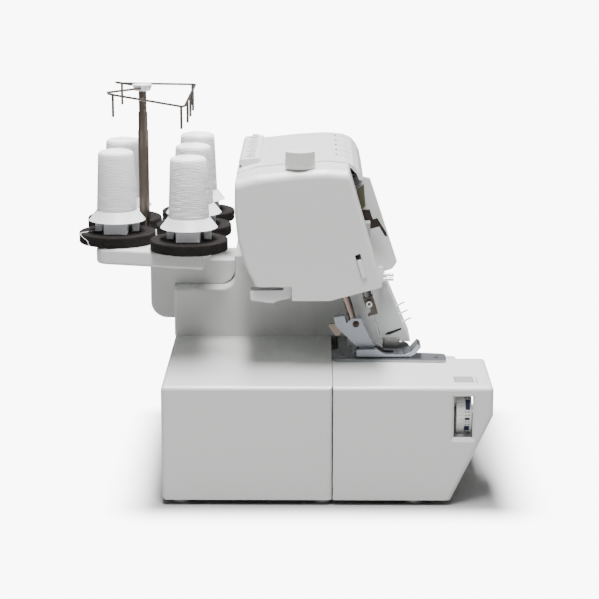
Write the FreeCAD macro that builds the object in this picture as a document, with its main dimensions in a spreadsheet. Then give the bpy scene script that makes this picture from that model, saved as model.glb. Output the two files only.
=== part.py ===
import FreeCAD, Part
import math
import os
import Sketcher

# A five-thread serger (overlock machine) for a table top, in millimetres.
# Sizes are taken from the left side face (x), the front face (y) and the table (z). The row's own
# origin is on the table under the middle of the whole machine, so every place is moved there.

DOC = FreeCAD.newDocument("serger")
SHEET = DOC.addObject("Spreadsheet::Sheet", "Sizes")

SIZES = {
    # casing
    "base_width": 270, "base_depth": 290, "deck_height": 108.5, "foot_height": 5, "wall": 2.5,
    "seam": 0.6, "edge_round": 4, "end_cover_depth": 7.5, "tray_thickness": 3, "inner_gap": 1,
    # left side cover and front looper cover
    "side_cover_width": 96, "side_cover_depth": 140, "chin_depth": 36, "chin_height": 77,
    "window_width": 16.4, "window_height": 37, "window_front": 18, "window_low": 62.6,
    "looper_cover_height": 52, "looper_cover_reach": 66, "looper_top_rise": 8,
    "hinge_rod_radius": 2, "hinge_rod_y": 44, "hinge_rod_z": 11.5,
    # head
    "head_left": 47, "head_bottom": 186.5, "cap_width": 46, "head_rear": 226, "head_tilt": 16.5,
    "head_round": 8, "guard_left": 122, "guard_thickness": 4, "chute_clear": 0.3,
    # column
    "column_left": 178, "column_front": 95, "column_step": 155, "column_neck": 232,
    # stitch forming
    "needle_x": 100, "needle_bar_radius": 4, "presser_bar_radius": 3.5, "running_gap": 0.05,
    "plate_thickness": 2, "plate_front": 36, "dog_row_width": 3, "dog_row_offset": 8,
    # drive
    "shaft_y": 190, "shaft_z": 88, "shaft_radius": 6, "shaft_pulley_radius": 26,
    "motor_y": 245, "motor_z": 50, "motor_radius": 24, "motor_shaft_radius": 3,
    "motor_pulley_radius": 8, "belt_width": 6, "belt_thickness": 2, "handwheel_radius": 36,
    "handwheel_reach": 30, "handwheel_gap": 2.5,
    # tension, dials and knobs
    "dial_radius": 13, "dial_width": 8, "thread_pitch": 29.5, "first_thread_x": 130,
    "knob_radius": 13.5, "knob_height": 14.5, "stitch_dial_radius": 21.5,
    # thread stand
    "mast_x": 160, "mast_behind": 25, "disc_radius": 35, "disc_thickness": 9.5,
    "spool_pitch": 72, "front_row_inset": 21, "rear_row_behind": 47, "stand_tray_low": 197,
    "stand_tray_height": 15, "pin_radius": 4, "cone_radius": 18.4, "cone_height": 53,
    "mast_radius": 4.9, "mast_tube_wall": 0.6, "mast_height": 97.5, "stage_step": 17,
    "cap_radius": 9.3, "cap_height": 5.5, "wire_radius": 1.05, "guide_pitch": 40, "pin_drop": 20,
}
for row, (alias, amount) in enumerate(SIZES.items(), start=1):
    SHEET.set(f"A{row}", alias)
    SHEET.set(f"B{row}", str(amount))
    SHEET.setAlias(f"B{row}", alias)
DOC.recompute()


class Size:
    """A length that knows its number and the spreadsheet formula that it comes from."""

    def __init__(self, number, formula=None):
        self.number = float(number)
        self.formula = formula or f"({float(number)!r})"

    def __add__(self, other):
        other = size(other)
        return Size(self.number + other.number, f"({self.formula} + {other.formula})")

    def __sub__(self, other):
        other = size(other)
        return Size(self.number - other.number, f"({self.formula} - {other.formula})")

    def __mul__(self, other):
        other = size(other)
        return Size(self.number * other.number, f"({self.formula} * {other.formula})")

    def __truediv__(self, other):
        other = size(other)
        return Size(self.number / other.number, f"({self.formula} / {other.formula})")

    def __radd__(self, other):
        return size(other) + self

    def __rsub__(self, other):
        return size(other) - self

    def __rmul__(self, other):
        return size(other) * self

    def __neg__(self):
        return size(0) - self


def size(amount):
    return amount if isinstance(amount, Size) else Size(amount)


class Named:
    """Every alias of the sheet as a Size, so that s.wall reads the wall."""

    def __init__(self):
        for alias in SIZES:
            setattr(self, alias, Size(SHEET.get(alias), f"Sizes.{alias}"))


s = Named()
tan_tilt = Size(math.tan(math.radians(s.head_tilt.number)), "tan(Sizes.head_tilt)")
sin_tilt = Size(math.sin(math.radians(s.head_tilt.number)), "sin(Sizes.head_tilt)")
cos_tilt = Size(math.cos(math.radians(s.head_tilt.number)), "cos(Sizes.head_tilt)")

# places that several pieces share
overall_width = s.base_width + s.handwheel_reach
overall_depth = s.base_depth + s.rear_row_behind + s.disc_radius
left = -overall_width / 2
front = -overall_depth / 2
end_cover_left = s.base_width - s.end_cover_depth
casing_right = end_cover_left - s.seam
cap_right = s.head_left + s.cap_width
panel_left = s.guard_left + s.guard_thickness + s.seam
deck_plate_low = s.deck_height + s.chute_clear
plate_top = deck_plate_low + s.plate_thickness
frame_floor = s.foot_height + s.tray_thickness + s.inner_gap
slab_top = frame_floor + 8
spool_top = s.stand_tray_low + s.stand_tray_height
mast_y = s.base_depth + s.mast_behind
front_row_y = s.base_depth - s.front_row_inset
rear_row_y = s.base_depth + s.rear_row_behind
needle_bar_y = 109.3          # on the axis, at needle_bar_level
presser_bar_y = 123.5         # on the axis, at presser_bar_level
needle_bar_level = s.head_bottom - 14.5
presser_bar_level = s.head_bottom - 33.5

AXES = {
    "x": (FreeCAD.Vector(0, 1, 0), 90),
    "y": (FreeCAD.Vector(1, 0, 0), -90),
}
NODES = {}


def bind(obj, prop, amount):
    obj.setExpression(prop, size(amount).formula)


def place(obj, x, y, z, axis=None, angle=0):
    """Put an object at a place counted from the left face, the front face and the table."""
    turn = FreeCAD.Rotation(axis, size(angle).number) if axis else FreeCAD.Rotation()
    obj.Placement = FreeCAD.Placement(FreeCAD.Vector(), turn)
    bind(obj, ".Placement.Base.x", left + x)
    bind(obj, ".Placement.Base.y", front + y)
    bind(obj, ".Placement.Base.z", z)
    if isinstance(angle, Size):
        bind(obj, ".Placement.Rotation.Angle", angle)
    return obj


def box(x, y, z, dx, dy, dz, tilt=None):
    """A block with its low corner at x, y, z; a tilt leans its top to the rear about that corner."""
    obj = DOC.addObject("Part::Box", "block")
    bind(obj, "Length", dx)
    bind(obj, "Width", dy)
    bind(obj, "Height", dz)
    if tilt is None:
        return place(obj, x, y, z)
    return place(obj, x, y, z, FreeCAD.Vector(-1, 0, 0), tilt)


def rod(x, y, z, radius, length, along="z", tilt=None):
    """A round bar that starts at x, y, z and runs along an axis, or up and back at the tilt."""
    obj = DOC.addObject("Part::Cylinder", "rod")
    bind(obj, "Radius", radius)
    bind(obj, "Height", length)
    if tilt is not None:
        return place(obj, x, y, z, FreeCAD.Vector(-1, 0, 0), tilt)
    if along in AXES:
        return place(obj, x, y, z, *AXES[along])
    return place(obj, x, y, z)


def cone(x, y, z, low_radius, top_radius, height):
    obj = DOC.addObject("Part::Cone", "cone")
    bind(obj, "Radius1", low_radius)
    bind(obj, "Radius2", top_radius)
    bind(obj, "Height", height)
    return place(obj, x, y, z)


def fuse(*parts):
    obj = DOC.addObject("Part::MultiFuse", "joined")
    obj.Shapes = list(parts)
    return obj


def group(*parts):
    obj = DOC.addObject("Part::Compound", "set_of")
    obj.Links = list(parts)
    return obj


def cut(base, *tools):
    obj = DOC.addObject("Part::Cut", "cut")
    obj.Base = base
    obj.Tool = tools[0] if len(tools) == 1 else fuse(*tools)
    return obj


def keep(name, obj):
    """Register a finished piece as a node of the machine."""
    obj.Label = name
    NODES[name] = obj
    return obj


def outline(body, role, points):
    """A closed sketch of straight runs whose corners are bound to the sheet."""
    sketch = body.newObject("Sketcher::SketchObject", body.Name + "_outline")
    plane = [f for f in body.Origin.OriginFeatures if f.Role == role][0]
    sketch.AttachmentSupport = [(plane, "")]
    sketch.MapMode = "FlatFace"
    corners = [FreeCAD.Vector(size(u).number, size(v).number, 0) for u, v in points]
    count = len(corners)
    for i in range(count):
        sketch.addGeometry(Part.LineSegment(corners[i], corners[(i + 1) % count]))
    for i in range(count):
        sketch.addConstraint(Sketcher.Constraint("Coincident", i, 2, (i + 1) % count, 1))
    for i, (u, v) in enumerate(points):
        for kind, amount in (("DistanceX", size(u)), ("DistanceY", size(v))):
            number = sketch.addConstraint(Sketcher.Constraint(kind, -1, 1, i, 1, amount.number))
            sketch.setExpression(f"Constraints[{number}]", amount.formula)
    return sketch


def slab_of(name, x, width, points):
    """A side outline, given as (y, z) corners, padded to the right from x."""
    body = DOC.addObject("PartDesign::Body", name + "_body")
    sketch = outline(body, "YZ_Plane", points)
    pad = body.newObject("PartDesign::Pad", name + "_pad")
    pad.Profile = sketch
    bind(pad, "Length", width)
    place(body, x, 0, 0)
    DOC.recompute()
    return body


def plate_of(name, z, height, points):
    """A plan outline, given as (x, y) corners, padded up from z."""
    body = DOC.addObject("PartDesign::Body", name + "_body")
    sketch = outline(body, "XY_Plane", points)
    pad = body.newObject("PartDesign::Pad", name + "_pad")
    pad.Profile = sketch
    bind(pad, "Length", height)
    place(body, 0, 0, z)
    DOC.recompute()
    return body


def round_edges(body, radius, wanted):
    """Round the edges of a body whose middle point, in the body's own axes, is wanted."""
    tip = body.Tip
    names = []
    for i, edge in enumerate(tip.Shape.Edges):
        middle = edge.valueAt((edge.FirstParameter + edge.LastParameter) / 2)
        direction = edge.tangentAt((edge.FirstParameter + edge.LastParameter) / 2)
        if wanted(middle, direction):
            names.append(f"Edge{i + 1}")
    fillet = body.newObject("PartDesign::Fillet", body.Name + "_round")
    fillet.Base = (tip, names)
    bind(fillet, "Radius", radius)
    DOC.recompute()


def room_of(name, x, width, points, open_runs, wall):
    """The room in a slab: its outline drawn in by the wall, and drawn out past every open run."""
    numbers = [(size(u).number, size(v).number) for u, v in points]
    following = numbers[1:] + numbers[:1]
    area = sum(a[0] * b[1] - b[0] * a[1] for a, b in zip(numbers, following))
    turn = 1 if area > 0 else -1
    normals = []
    for a, b in zip(numbers, following):
        run = math.hypot(b[0] - a[0], b[1] - a[1])
        normals.append((-turn * (b[1] - a[1]) / run, turn * (b[0] - a[0]) / run))
    depths = [-wall if i in open_runs else wall for i in range(len(points))]
    inner = []
    for i, (u, v) in enumerate(points):
        (a, b), (c, d) = normals[i - 1], normals[i]
        det = a * d - b * c
        inner.append((u + depths[i - 1] * (d / det) - depths[i] * (b / det),
                      v - depths[i - 1] * (c / det) + depths[i] * (a / det)))
    return slab_of(name, x + wall, width, inner)


def hollow(body, wall, is_open):
    """Hollow a body to a wall, leaving out the faces for which is_open says so."""
    tip = body.Tip
    names = []
    for i, face in enumerate(tip.Shape.Faces):
        if is_open(face.CenterOfMass, face.normalAt(0, 0)):
            names.append(f"Face{i + 1}")
    shell = body.newObject("PartDesign::Thickness", body.Name + "_shell")
    shell.Base = (tip, names)
    bind(shell, "Value", wall)
    shell.Reversed = True
    shell.Join = 1
    DOC.recompute()


def near(a, b):
    return abs(a - size(b).number) < 0.05


def strip_of(name, x, width, points, thickness):
    """A bent sheet: an open side line, given as (y, z) points, with its wall on the inner side."""
    inner = []
    for i, (y, z) in enumerate(points):
        before = points[max(i - 1, 0)]
        after = points[min(i + 1, len(points) - 1)]
        dy = size(after[0]).number - size(before[0]).number
        dz = size(after[1]).number - size(before[1]).number
        run = math.hypot(dy, dz)
        inner.append((y + thickness * (dz / run), z - thickness * (dy / run)))
    return slab_of(name, x, width, points + inner[::-1])


# --- casing -----------------------------------------------------------------------------------

# Base cover: the rear of the base with the deck; hollow, open below, in front and to the right.
rear_front = s.side_cover_depth + s.seam / 2
BASE_LINE = [(rear_front, s.foot_height), (s.base_depth, s.foot_height),
             (s.base_depth, s.deck_height), (rear_front, s.deck_height)]
base = slab_of("base_cover", 0, casing_right, BASE_LINE)
round_edges(base, s.edge_round, lambda p, d: (near(p.x, 0) and p.z > 20)
            or (near(p.y, s.base_depth) and abs(d.x) > 0.9))
base_room = room_of("base_room", 0, casing_right, BASE_LINE, (0, 3), s.wall)
shaft_way = box(s.column_left + 6, rear_front + 6, s.deck_height - 6,
                casing_right - s.column_left - 12, s.base_depth - rear_front - 16, 12)
keep("base_cover", cut(base, base_room, shaft_way))

# Bottom tray with the two ears that hold the front cover's hinge rod.
tray_front = s.hinge_rod_y + 6
tray_inset = s.wall + s.inner_gap
tray = box(tray_inset, tray_front, s.foot_height, end_cover_left - 2 * tray_inset,
           s.base_depth - tray_front - tray_inset - s.edge_round, s.tray_thickness)
EAR_PLACES = (s.side_cover_width + 34, s.base_width - 40)
ear_width = 6
ears = [box(x, s.hinge_rod_y - 4, s.foot_height + s.tray_thickness, ear_width, 14,
            s.hinge_rod_z - s.foot_height) for x in EAR_PLACES]
ear_holes = [rod(x - 1, s.hinge_rod_y, s.hinge_rod_z, s.hinge_rod_radius + s.running_gap,
                 ear_width + 2, "x") for x in EAR_PLACES]
keep("bottom_tray", cut(fuse(tray, *ears), *ear_holes))

# Feet: six rubber pads under the tray, three along each side.
FOOT_ROWS = (s.hinge_rod_y + 24, s.side_cover_depth + 9, s.base_depth - 16)
foot_radius = 7
feet = [rod(x, y, 0, foot_radius, s.foot_height)
        for x in (14, s.base_width - 22) for y in FOOT_ROWS]
keep("rubber_feet", group(*feet))

# Left side cover: a shell that swings out to the left on its rear corner. Its front leans back
# below the chin, and a window in its left wall shows the stitch length dial.
chin_z = s.foot_height + s.chin_height
end_front = s.looper_cover_reach + s.seam
side_rear = s.side_cover_depth - s.seam / 2
SIDE_LINE = [(s.chin_depth, s.foot_height), (side_rear, s.foot_height),
             (side_rear, s.deck_height), (0, s.deck_height), (0, chin_z)]
side = slab_of("side_cover", 0, s.side_cover_width, SIDE_LINE)
round_edges(side, s.edge_round, lambda p, d: (near(p.x, 0) and (near(p.z, s.deck_height)
            or p.y < s.chin_depth.number)) or (near(p.y, 0) and near(p.z, s.deck_height)))
side_room = room_of("side_room", 0, s.side_cover_width, SIDE_LINE, (0, 1), s.wall)
window = box(-1, s.window_front, s.window_low, s.wall + 2, s.window_width, s.window_height)
bevel_depth = s.wall - 0.6
sill = 4.2
rim = 2.4
bevel = DOC.addObject("Part::Wedge", "window_bevel")
bind(bevel, "Xmin", -(s.window_front + s.window_width + rim))
bind(bevel, "Xmax", -(s.window_front - rim))
bind(bevel, "Zmin", s.window_low - sill)
bind(bevel, "Zmax", s.window_low + s.window_height + 1)
bind(bevel, "X2min", -(s.window_front + s.window_width))
bind(bevel, "X2max", -s.window_front)
bind(bevel, "Z2min", s.window_low)
bind(bevel, "Z2max", s.window_low + s.window_height)
bind(bevel, "Ymin", -0.1)
bind(bevel, "Ymax", bevel_depth)
place(bevel, 0, 0, 0, FreeCAD.Vector(0, 0, -1), 90)
plate_way = box(s.needle_x - 12, end_front - 4, s.deck_height - 6, 14, s.side_cover_depth, 8)
keep("side_cover", cut(side, side_room, window, bevel, plate_way))

# Column: the tall shell at the right of the deck, with a step at its rear for the thread stand.
neck_round = 13
COLUMN_LINE = [(s.column_front, s.deck_height), (s.base_depth, s.deck_height),
               (s.base_depth, s.column_step), (s.column_neck, s.column_step),
               (s.column_neck, s.head_bottom), (s.column_front, s.head_bottom)]
column_width = casing_right - s.column_left
column = slab_of("column", s.column_left, column_width, COLUMN_LINE)
round_edges(column, neck_round, lambda p, d: near(p.y, s.column_neck) and near(p.z, s.column_step))
round_edges(column, 3, lambda p, d: near(p.x, 0) and p.z > s.deck_height.number + 1
            and p.z < s.head_bottom.number - 1 and p.y > s.column_front.number + 1)
column_room = room_of("column_room", s.column_left, column_width, COLUMN_LINE, (0,), s.wall)
arm_way_front = 150
arm_way = box(s.column_left + 18, arm_way_front + 6, s.head_bottom - 8,
              casing_right - s.column_left - 36, 50, 16)

# Arm: the bent sheet that closes the head below and behind, moulded with the column.
head_top = s.head_bottom + 101.5
tension_seam = s.head_bottom + 75.5
ARM_LINE = [(s.head_rear, tension_seam - s.seam), (s.head_rear + 0.3, s.head_bottom + 66.5),
            (s.head_rear - 2.2, s.head_bottom + 42.5), (s.head_rear - 8.6, s.head_bottom + 19),
            (s.head_rear - 18, s.head_bottom), (arm_way_front, s.head_bottom)]
arm_thickness = s.wall
arm = strip_of("arm", cap_right + s.seam, casing_right - cap_right - s.seam, ARM_LINE,
               arm_thickness)
keep("column_cover", cut(fuse(cut(column, column_room), arm), arm_way))

# Head end cover: the deep cap on the left of the head. The lifter swings in its rear slot.
CAP_TOP = [(s.head_rear - 100, head_top + 1.5), (s.head_rear - 81, head_top + 3.2),
           (s.head_rear - 55, head_top + 1.8), (s.head_rear - 19, head_top - 2.2),
           (s.head_rear, head_top - 7.5)]
step_y = s.head_rear - 50
belly_z = s.head_bottom - 12.5
CAP_LINE = CAP_TOP + ARM_LINE[1:5] + [
    (step_y, s.head_bottom), (step_y, belly_z), (s.head_rear - 83, belly_z),
    (s.head_rear - 129.5, s.head_bottom)]
cap = slab_of("head_end_cover", s.head_left, s.cap_width, CAP_LINE)
round_edges(cap, s.head_round, lambda p, d: near(p.x, 0) and p.z > head_top.number - 9)
round_edges(cap, 3, lambda p, d: near(p.x, 0) and p.z < head_top.number - 20
            and p.z > s.head_bottom.number + 2)
cap_room = room_of("cap_room", s.head_left, s.cap_width, CAP_LINE, (), s.wall)
round_edges(cap_room, s.head_round - s.wall,
            lambda p, d: near(p.x, 0) and p.z > head_top.number - 9 - s.wall.number)
lifter_left = s.head_left + 5
lifter_width = 15
lifter_slot = box(lifter_left - 1, step_y - s.wall - 0.1, belly_z - 6, lifter_width + 2, 60, 48)
knob_x = s.head_left + 16
knob_y = s.head_rear - 57
stem_radius = 4
knob_hole = rod(knob_x, knob_y, head_top - 20, stem_radius + 0.5, 40)
button_length = 16
button_width = 4.4
button_travel = 5
button_y = s.head_rear - 116.2
button_z = s.head_bottom + 9.5
button_slot = box(s.head_left - 1, button_y, button_z, s.wall + 2, button_width + 0.6,
                  button_length + button_travel + 0.6, s.head_tilt)
keep("head_end_cover", cut(cap, cap_room, lifter_slot, knob_hole, button_slot))

# Tension cover: the bent sheet on top of the head, from the front lip over to the rear, with one
# slot for each thread that runs forward and down over the front.
lip_z = tension_seam - 9.5
TOP_LINE = [(s.head_rear - 116, lip_z), (s.head_rear - 115.2, head_top - 24),
            (s.head_rear - 113.2, head_top - 14), (s.head_rear - 109.8, head_top - 6.3),
            (s.head_rear - 104.5, head_top - 0.4), (s.head_rear - 97, head_top + 2.8),
            (s.head_rear - 81, head_top + 4.2),
            (s.head_rear - 55, head_top + 2.8), (s.head_rear - 19, head_top - 1.2),
            (s.head_rear, head_top - 7), (s.head_rear, tension_seam)]
top_seam = 0.1
top_sheet = strip_of("tension_cover", cap_right + top_seam, casing_right - cap_right - top_seam,
                     TOP_LINE, s.wall + 0.5)
THREADS = range(5)
slot_width = 1.6
slots = [box(s.first_thread_x + i * s.thread_pitch - slot_width / 2, s.head_rear - 120,
             head_top - 22, slot_width, 30, 32) for i in THREADS]
guard_notch = box(cap_right - 1, s.head_rear - 124, lip_z - 2, panel_left - cap_right + 1, 22,
                  24)
keep("tension_cover", cut(top_sheet, guard_notch, *slots))

# Front panel: the leaning sheet below the tension cover, with a window for each tension dial.
panel_foot_y = s.column_front - 2.5
panel_foot_z = s.head_bottom + s.seam
panel_rise = lip_z - s.seam - panel_foot_z
panel_lean = 17.5
panel = slab_of("front_panel", panel_left, casing_right - panel_left, [
    (panel_foot_y, panel_foot_z), (panel_foot_y + panel_lean, panel_foot_z + panel_rise),
    (panel_foot_y + panel_lean + s.wall, panel_foot_z + panel_rise),
    (panel_foot_y + s.wall, panel_foot_z)])
dial_z = panel_foot_z + panel_rise * 0.8
dial_proud = 3
dial_y = panel_foot_y + panel_lean * 0.8 - dial_proud + s.dial_radius
dial_left = [s.first_thread_x + i * s.thread_pitch + 3 for i in THREADS]
dial_windows = [box(x - 0.7, panel_foot_y + 4, dial_z - s.dial_radius * 0.92,
                    s.dial_width + 1.4, 24, s.dial_radius * 2) for x in dial_left]
keep("front_panel", cut(panel, *dial_windows))

# Needle side panel: the box below the head beside the needles, open behind and to the right.
panel_box_left = s.guard_left + 8
SIDE_PANEL_LINE = [
    (s.column_front - 28.5, s.deck_height + 7.3), (s.column_front - 6, s.head_bottom - 16.5),
    (s.column_front + 0.4, s.head_bottom - 0.3), (s.column_front + 30, s.head_bottom - 0.3),
    (s.column_front + 30, s.deck_height + 3), (s.column_front - 3, s.deck_height + 3),
    (s.column_front - 5, s.deck_height + 7.3)]
side_panel_width = s.column_left - panel_box_left
side_panel = slab_of("needle_side_panel", panel_box_left, side_panel_width, SIDE_PANEL_LINE)
round_edges(side_panel, 1.2, lambda p, d: near(p.x, 0) and p.y < s.column_front.number + 20)
side_panel_room = room_of("side_panel_room", panel_box_left, side_panel_width, SIDE_PANEL_LINE,
                          (3,), s.wall - 0.6)
WIRE_HEIGHTS = (40, 32.5, 25)
wire_rise = 27
guide_wires = []
for height in WIRE_HEIGHTS:
    wire_y = s.column_front - 28.5 + (height - 7.3) * 0.415
    wire = DOC.addObject("Part::Cylinder", "guide_wire")
    bind(wire, "Radius", 0.8)
    bind(wire, "Height", 10)
    place(wire, panel_box_left + 5, wire_y + 1.4, s.deck_height + height - 0.5,
          FreeCAD.Vector(1, 0, 0), 90 - wire_rise)
    guide_wires.append(wire)
keep("needle_side_panel", cut(side_panel, side_panel_room, *guide_wires))

# Take-up guard: the upright fin between the needle bay and the tension dials.
guard = slab_of("take_up_guard", s.guard_left, s.guard_thickness, [
    (s.column_front + 18.9, s.head_bottom + 86.5), (s.column_front + 10.7, s.head_bottom + 84.5),
    (s.column_front - 14.8, s.head_bottom + 7), (s.column_front - 10.5, s.head_bottom + 0.5),
    (s.column_front - 2, s.head_bottom - 2.2), (s.column_front + 5, s.head_bottom + 1),
    (s.column_front + 30, s.head_bottom + 81), (s.column_front + 26, s.head_bottom + 86.5)])
round_edges(guard, 3, lambda p, d: abs(d.x) > 0.9 and p.y < s.column_front.number + 2)
keep("take_up_guard", guard)

# Right end cover: closes the base, the column and the head; the shaft and the socket pass it.
END_LINE = [(end_front, s.foot_height), (s.base_depth, s.foot_height),
            (s.base_depth, s.column_step), (s.column_neck, s.column_step),
            (s.head_rear, s.head_bottom + 66.5),
            (s.head_rear, head_top - 7)] + TOP_LINE[1:-2][::-1] + [
            (s.head_rear - 116, lip_z), (panel_foot_y, panel_foot_z),
            (panel_foot_y - 2, s.deck_height), (end_front, s.deck_height - 43)]
end = slab_of("right_end_cover", end_cover_left, s.end_cover_depth, END_LINE)
round_edges(end, neck_round, lambda p, d: near(p.y, s.column_neck) and near(p.z, s.column_step))
round_edges(end, 3, lambda p, d: near(p.x, s.end_cover_depth) and p.z > s.foot_height.number + 1
            and p.y > end_front.number + 1)
hollow(end, s.wall, lambda p, n: n.x < -0.9)
inlet_y = s.base_depth - 48
inlet_z = s.foot_height + 24
inlet_width = 26
inlet_height = 18
inlet_hole = box(end_cover_left, inlet_y, inlet_z, 12, inlet_width + 0.4, inlet_height + 0.4)
switch_y = inlet_y - 34
switch_width = 14
switch_height = 20
switch_hole = box(end_cover_left, switch_y - 0.5, inlet_z - 1, 12, switch_width + 2,
                  switch_height + 1)
shaft_hole = rod(end_cover_left, s.shaft_y, s.shaft_z, s.shaft_radius + 2, 12, "x")
lever_y = s.column_front + 40
lever_z = s.deck_height + 28
lever_shaft_radius = 3
lever_hole = rod(end_cover_left, lever_y, lever_z, lever_shaft_radius + s.running_gap, 12, "x")
keep("right_end_cover", cut(end, inlet_hole, switch_hole, shaft_hole, lever_hole))

# Front looper cover: a bent front with a right side wall and two lugs on the hinge rod.
looper_left = s.side_cover_width + 0.8
looper_width = s.base_width - looper_left
lean = s.chin_depth / s.chin_height
looper_top = s.foot_height + s.looper_cover_height
LOOPER_LINE = [(s.chin_depth, s.foot_height),
               (s.chin_depth - s.looper_cover_height * lean, looper_top),
               (s.chin_depth - s.looper_cover_height * lean + 4, looper_top + 5),
               (s.looper_cover_reach, looper_top + s.looper_top_rise)]
looper_sheet = strip_of("looper_cover", looper_left, looper_width, LOOPER_LINE[::-1], s.wall)
looper_wall = slab_of("looper_wall", s.base_width - s.wall, s.wall, LOOPER_LINE + [
    (s.looper_cover_reach, looper_top - 15), (s.hinge_rod_y + 4, s.hinge_rod_z + 12)])
LUG_PLACES = (EAR_PLACES[0] + 12, EAR_PLACES[1] - 14)
lugs = [box(x, s.chin_depth - 3, s.hinge_rod_z - 3.5, ear_width, s.hinge_rod_y - s.chin_depth + 7,
            7) for x in LUG_PLACES]
lug_holes = [rod(x - 1, s.hinge_rod_y, s.hinge_rod_z, s.hinge_rod_radius + s.running_gap,
                 ear_width + 2, "x") for x in LUG_PLACES]
keep("looper_cover", cut(fuse(looper_sheet, looper_wall, *lugs), *lug_holes))

# Hinge rod: slides to the right in the tray's ears and carries the looper cover.
keep("cover_hinge_rod", rod(EAR_PLACES[0] - 14, s.hinge_rod_y, s.hinge_rod_z,
                            s.hinge_rod_radius, EAR_PLACES[1] - EAR_PLACES[0] + 34, "x"))


# --- frame, plate and stitch forming ------------------------------------------------------------

# Machine frame: one casting with a floor, a bed wall, two shaft webs, a column and an arm.
bed_left = s.side_cover_width + 1.5
bed_wall_y = 122
bed_wall = 12
frame_front = tray_front + 6
frame_depth = s.base_depth - 20 - frame_front
floor = box(20, frame_front, frame_floor, s.base_width - 40, frame_depth, 8)
bed = box(bed_left, bed_wall_y, slab_top, s.column_left - 6 - bed_left, bed_wall,
          deck_plate_low - slab_top)
bed_right = box(s.column_left - 6, bed_wall_y, slab_top, s.base_width - 8 - s.column_left, bed_wall,
                s.deck_height - 4 - slab_top)
bed_post = box(bed_left, end_front + 2, slab_top, 5, 6, deck_plate_low - slab_top)
WEB_PLACES = (bed_left + 34, s.base_width - 38)
web_width = 8
webs = [box(x, s.shaft_y - 25, slab_top, web_width, 50, s.shaft_z + 16 - slab_top)
        for x in WEB_PLACES]
tower_left = s.column_left + 22
head_frame_left = cap_right + s.seam
arm_floor = s.head_bottom + 18.5
tower = box(tower_left, arm_way_front + 10, slab_top, 20, 44, arm_floor - slab_top)
arm_beam = box(head_frame_left, arm_way_front - 10, arm_floor,
               tower_left + 20 - head_frame_left, 36, 34)
bar_block = box(head_frame_left, arm_way_front - 44, arm_floor, 14, 38, 30)
bar_top_y = needle_bar_y - 20 * tan_tilt
needle_hole = rod(s.needle_x, bar_top_y, needle_bar_level - 20,
                  s.needle_bar_radius + s.running_gap, 130, tilt=s.head_tilt)
presser_hole = rod(s.needle_x, presser_bar_y - 10 * tan_tilt, presser_bar_level - 10,
                   s.presser_bar_radius + s.running_gap, 130, tilt=s.head_tilt)
shaft_bore = rod(bed_left, s.shaft_y, s.shaft_z, s.shaft_radius + s.running_gap,
                 s.base_width, "x")
cradle = box(s.base_width - 90, s.motor_y - 12, slab_top, 45, 24, 14)
motor_left = s.base_width - 100
motor_length = 62
motor_seat = rod(motor_left - 10, s.motor_y, s.motor_z, s.motor_radius, motor_length + 30, "x")
dial_axis_x = s.wall + 1 + s.stitch_dial_radius
dial_axis_z = s.window_low + s.window_height / 2
dial_post = box(dial_axis_x - 5, frame_front, slab_top, 10, 10, dial_axis_z + 6 - slab_top)
spindle_radius = 3
dial_spindle = rod(dial_axis_x, s.window_front, dial_axis_z, spindle_radius,
                   frame_front - s.window_front + 1, "y")
LOOPER_PIVOTS = {"lower_looper": (s.needle_x + 14, 55), "upper_looper": (s.needle_x + 42, 58)}
pivot_radius = 2.5
looper_pins = [rod(x, 96, z, pivot_radius, bed_wall_y - 95, "y") for x, z in LOOPER_PIVOTS.values()]
lifter_axis_y = step_y - 4
lifter_axis_z = s.head_bottom + 10
lifter_shaft_radius = 3
ear_low = s.head_bottom + s.wall + 0.5
lifter_ear = box(head_frame_left, lifter_axis_y - 6, ear_low, 6.4, 12, arm_floor - ear_low + 1)
lifter_bore = rod(s.needle_x - 10, lifter_axis_y, lifter_axis_z,
                  lifter_shaft_radius + s.running_gap, 14, "x")
keep("machine_frame", cut(
    fuse(floor, bed, bed_right, bed_post, *webs, tower, arm_beam, bar_block, cradle, dial_post,
         dial_spindle, *looper_pins, lifter_ear),
    needle_hole, presser_hole, shaft_bore, motor_seat, lifter_bore))

# Needle plate with slots for the feed dogs, the needles and its two screws.
plate_rear = side_rear - 0.2
plate_left = s.needle_x - 19.5
needle_plate = plate_of("needle_plate", deck_plate_low, s.plate_thickness, [
    (plate_left, s.plate_front), (plate_left + 25, s.plate_front),
    (plate_left + 40.5, plate_rear), (plate_left + 4, plate_rear)])
round_edges(needle_plate, 5, lambda p, d: abs(d.z) > 0.9)
DOG_ROWS = (s.needle_x - s.dog_row_offset - s.dog_row_width / 2,
            s.needle_x + s.dog_row_offset - s.dog_row_width / 2)
dog_front = 72
dog_rear = 116
dog_clear = 3.5
dog_slots = [box(x - 0.7, dog_front - dog_clear, deck_plate_low - 1, s.dog_row_width + 1.4,
                 dog_rear - dog_front + 2 * dog_clear, 5) for x in DOG_ROWS]
needle_slot = box(s.needle_x - 3.4, 84, deck_plate_low - 1, 6.8, 14, 5)
SCREW_PLACES = ((s.needle_x - 8, s.plate_front + 9), (s.needle_x + 2, plate_rear - 9))
screw_radius = 2
screw_holes = [rod(x, y, deck_plate_low - 1, screw_radius + 0.2, 5) for x, y in SCREW_PLACES]
keep("needle_plate", cut(needle_plate, needle_slot, *dog_slots, *screw_holes))
screw_heads = [rod(x, y, deck_plate_low, screw_radius, s.plate_thickness - 0.3) for x, y in SCREW_PLACES]
top_screw = rod(s.guard_left - 7, s.column_front + 24, s.head_bottom + 83.5, 4, 6.9, "x")
keep("machine_screws", group(*screw_heads, top_screw))

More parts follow.
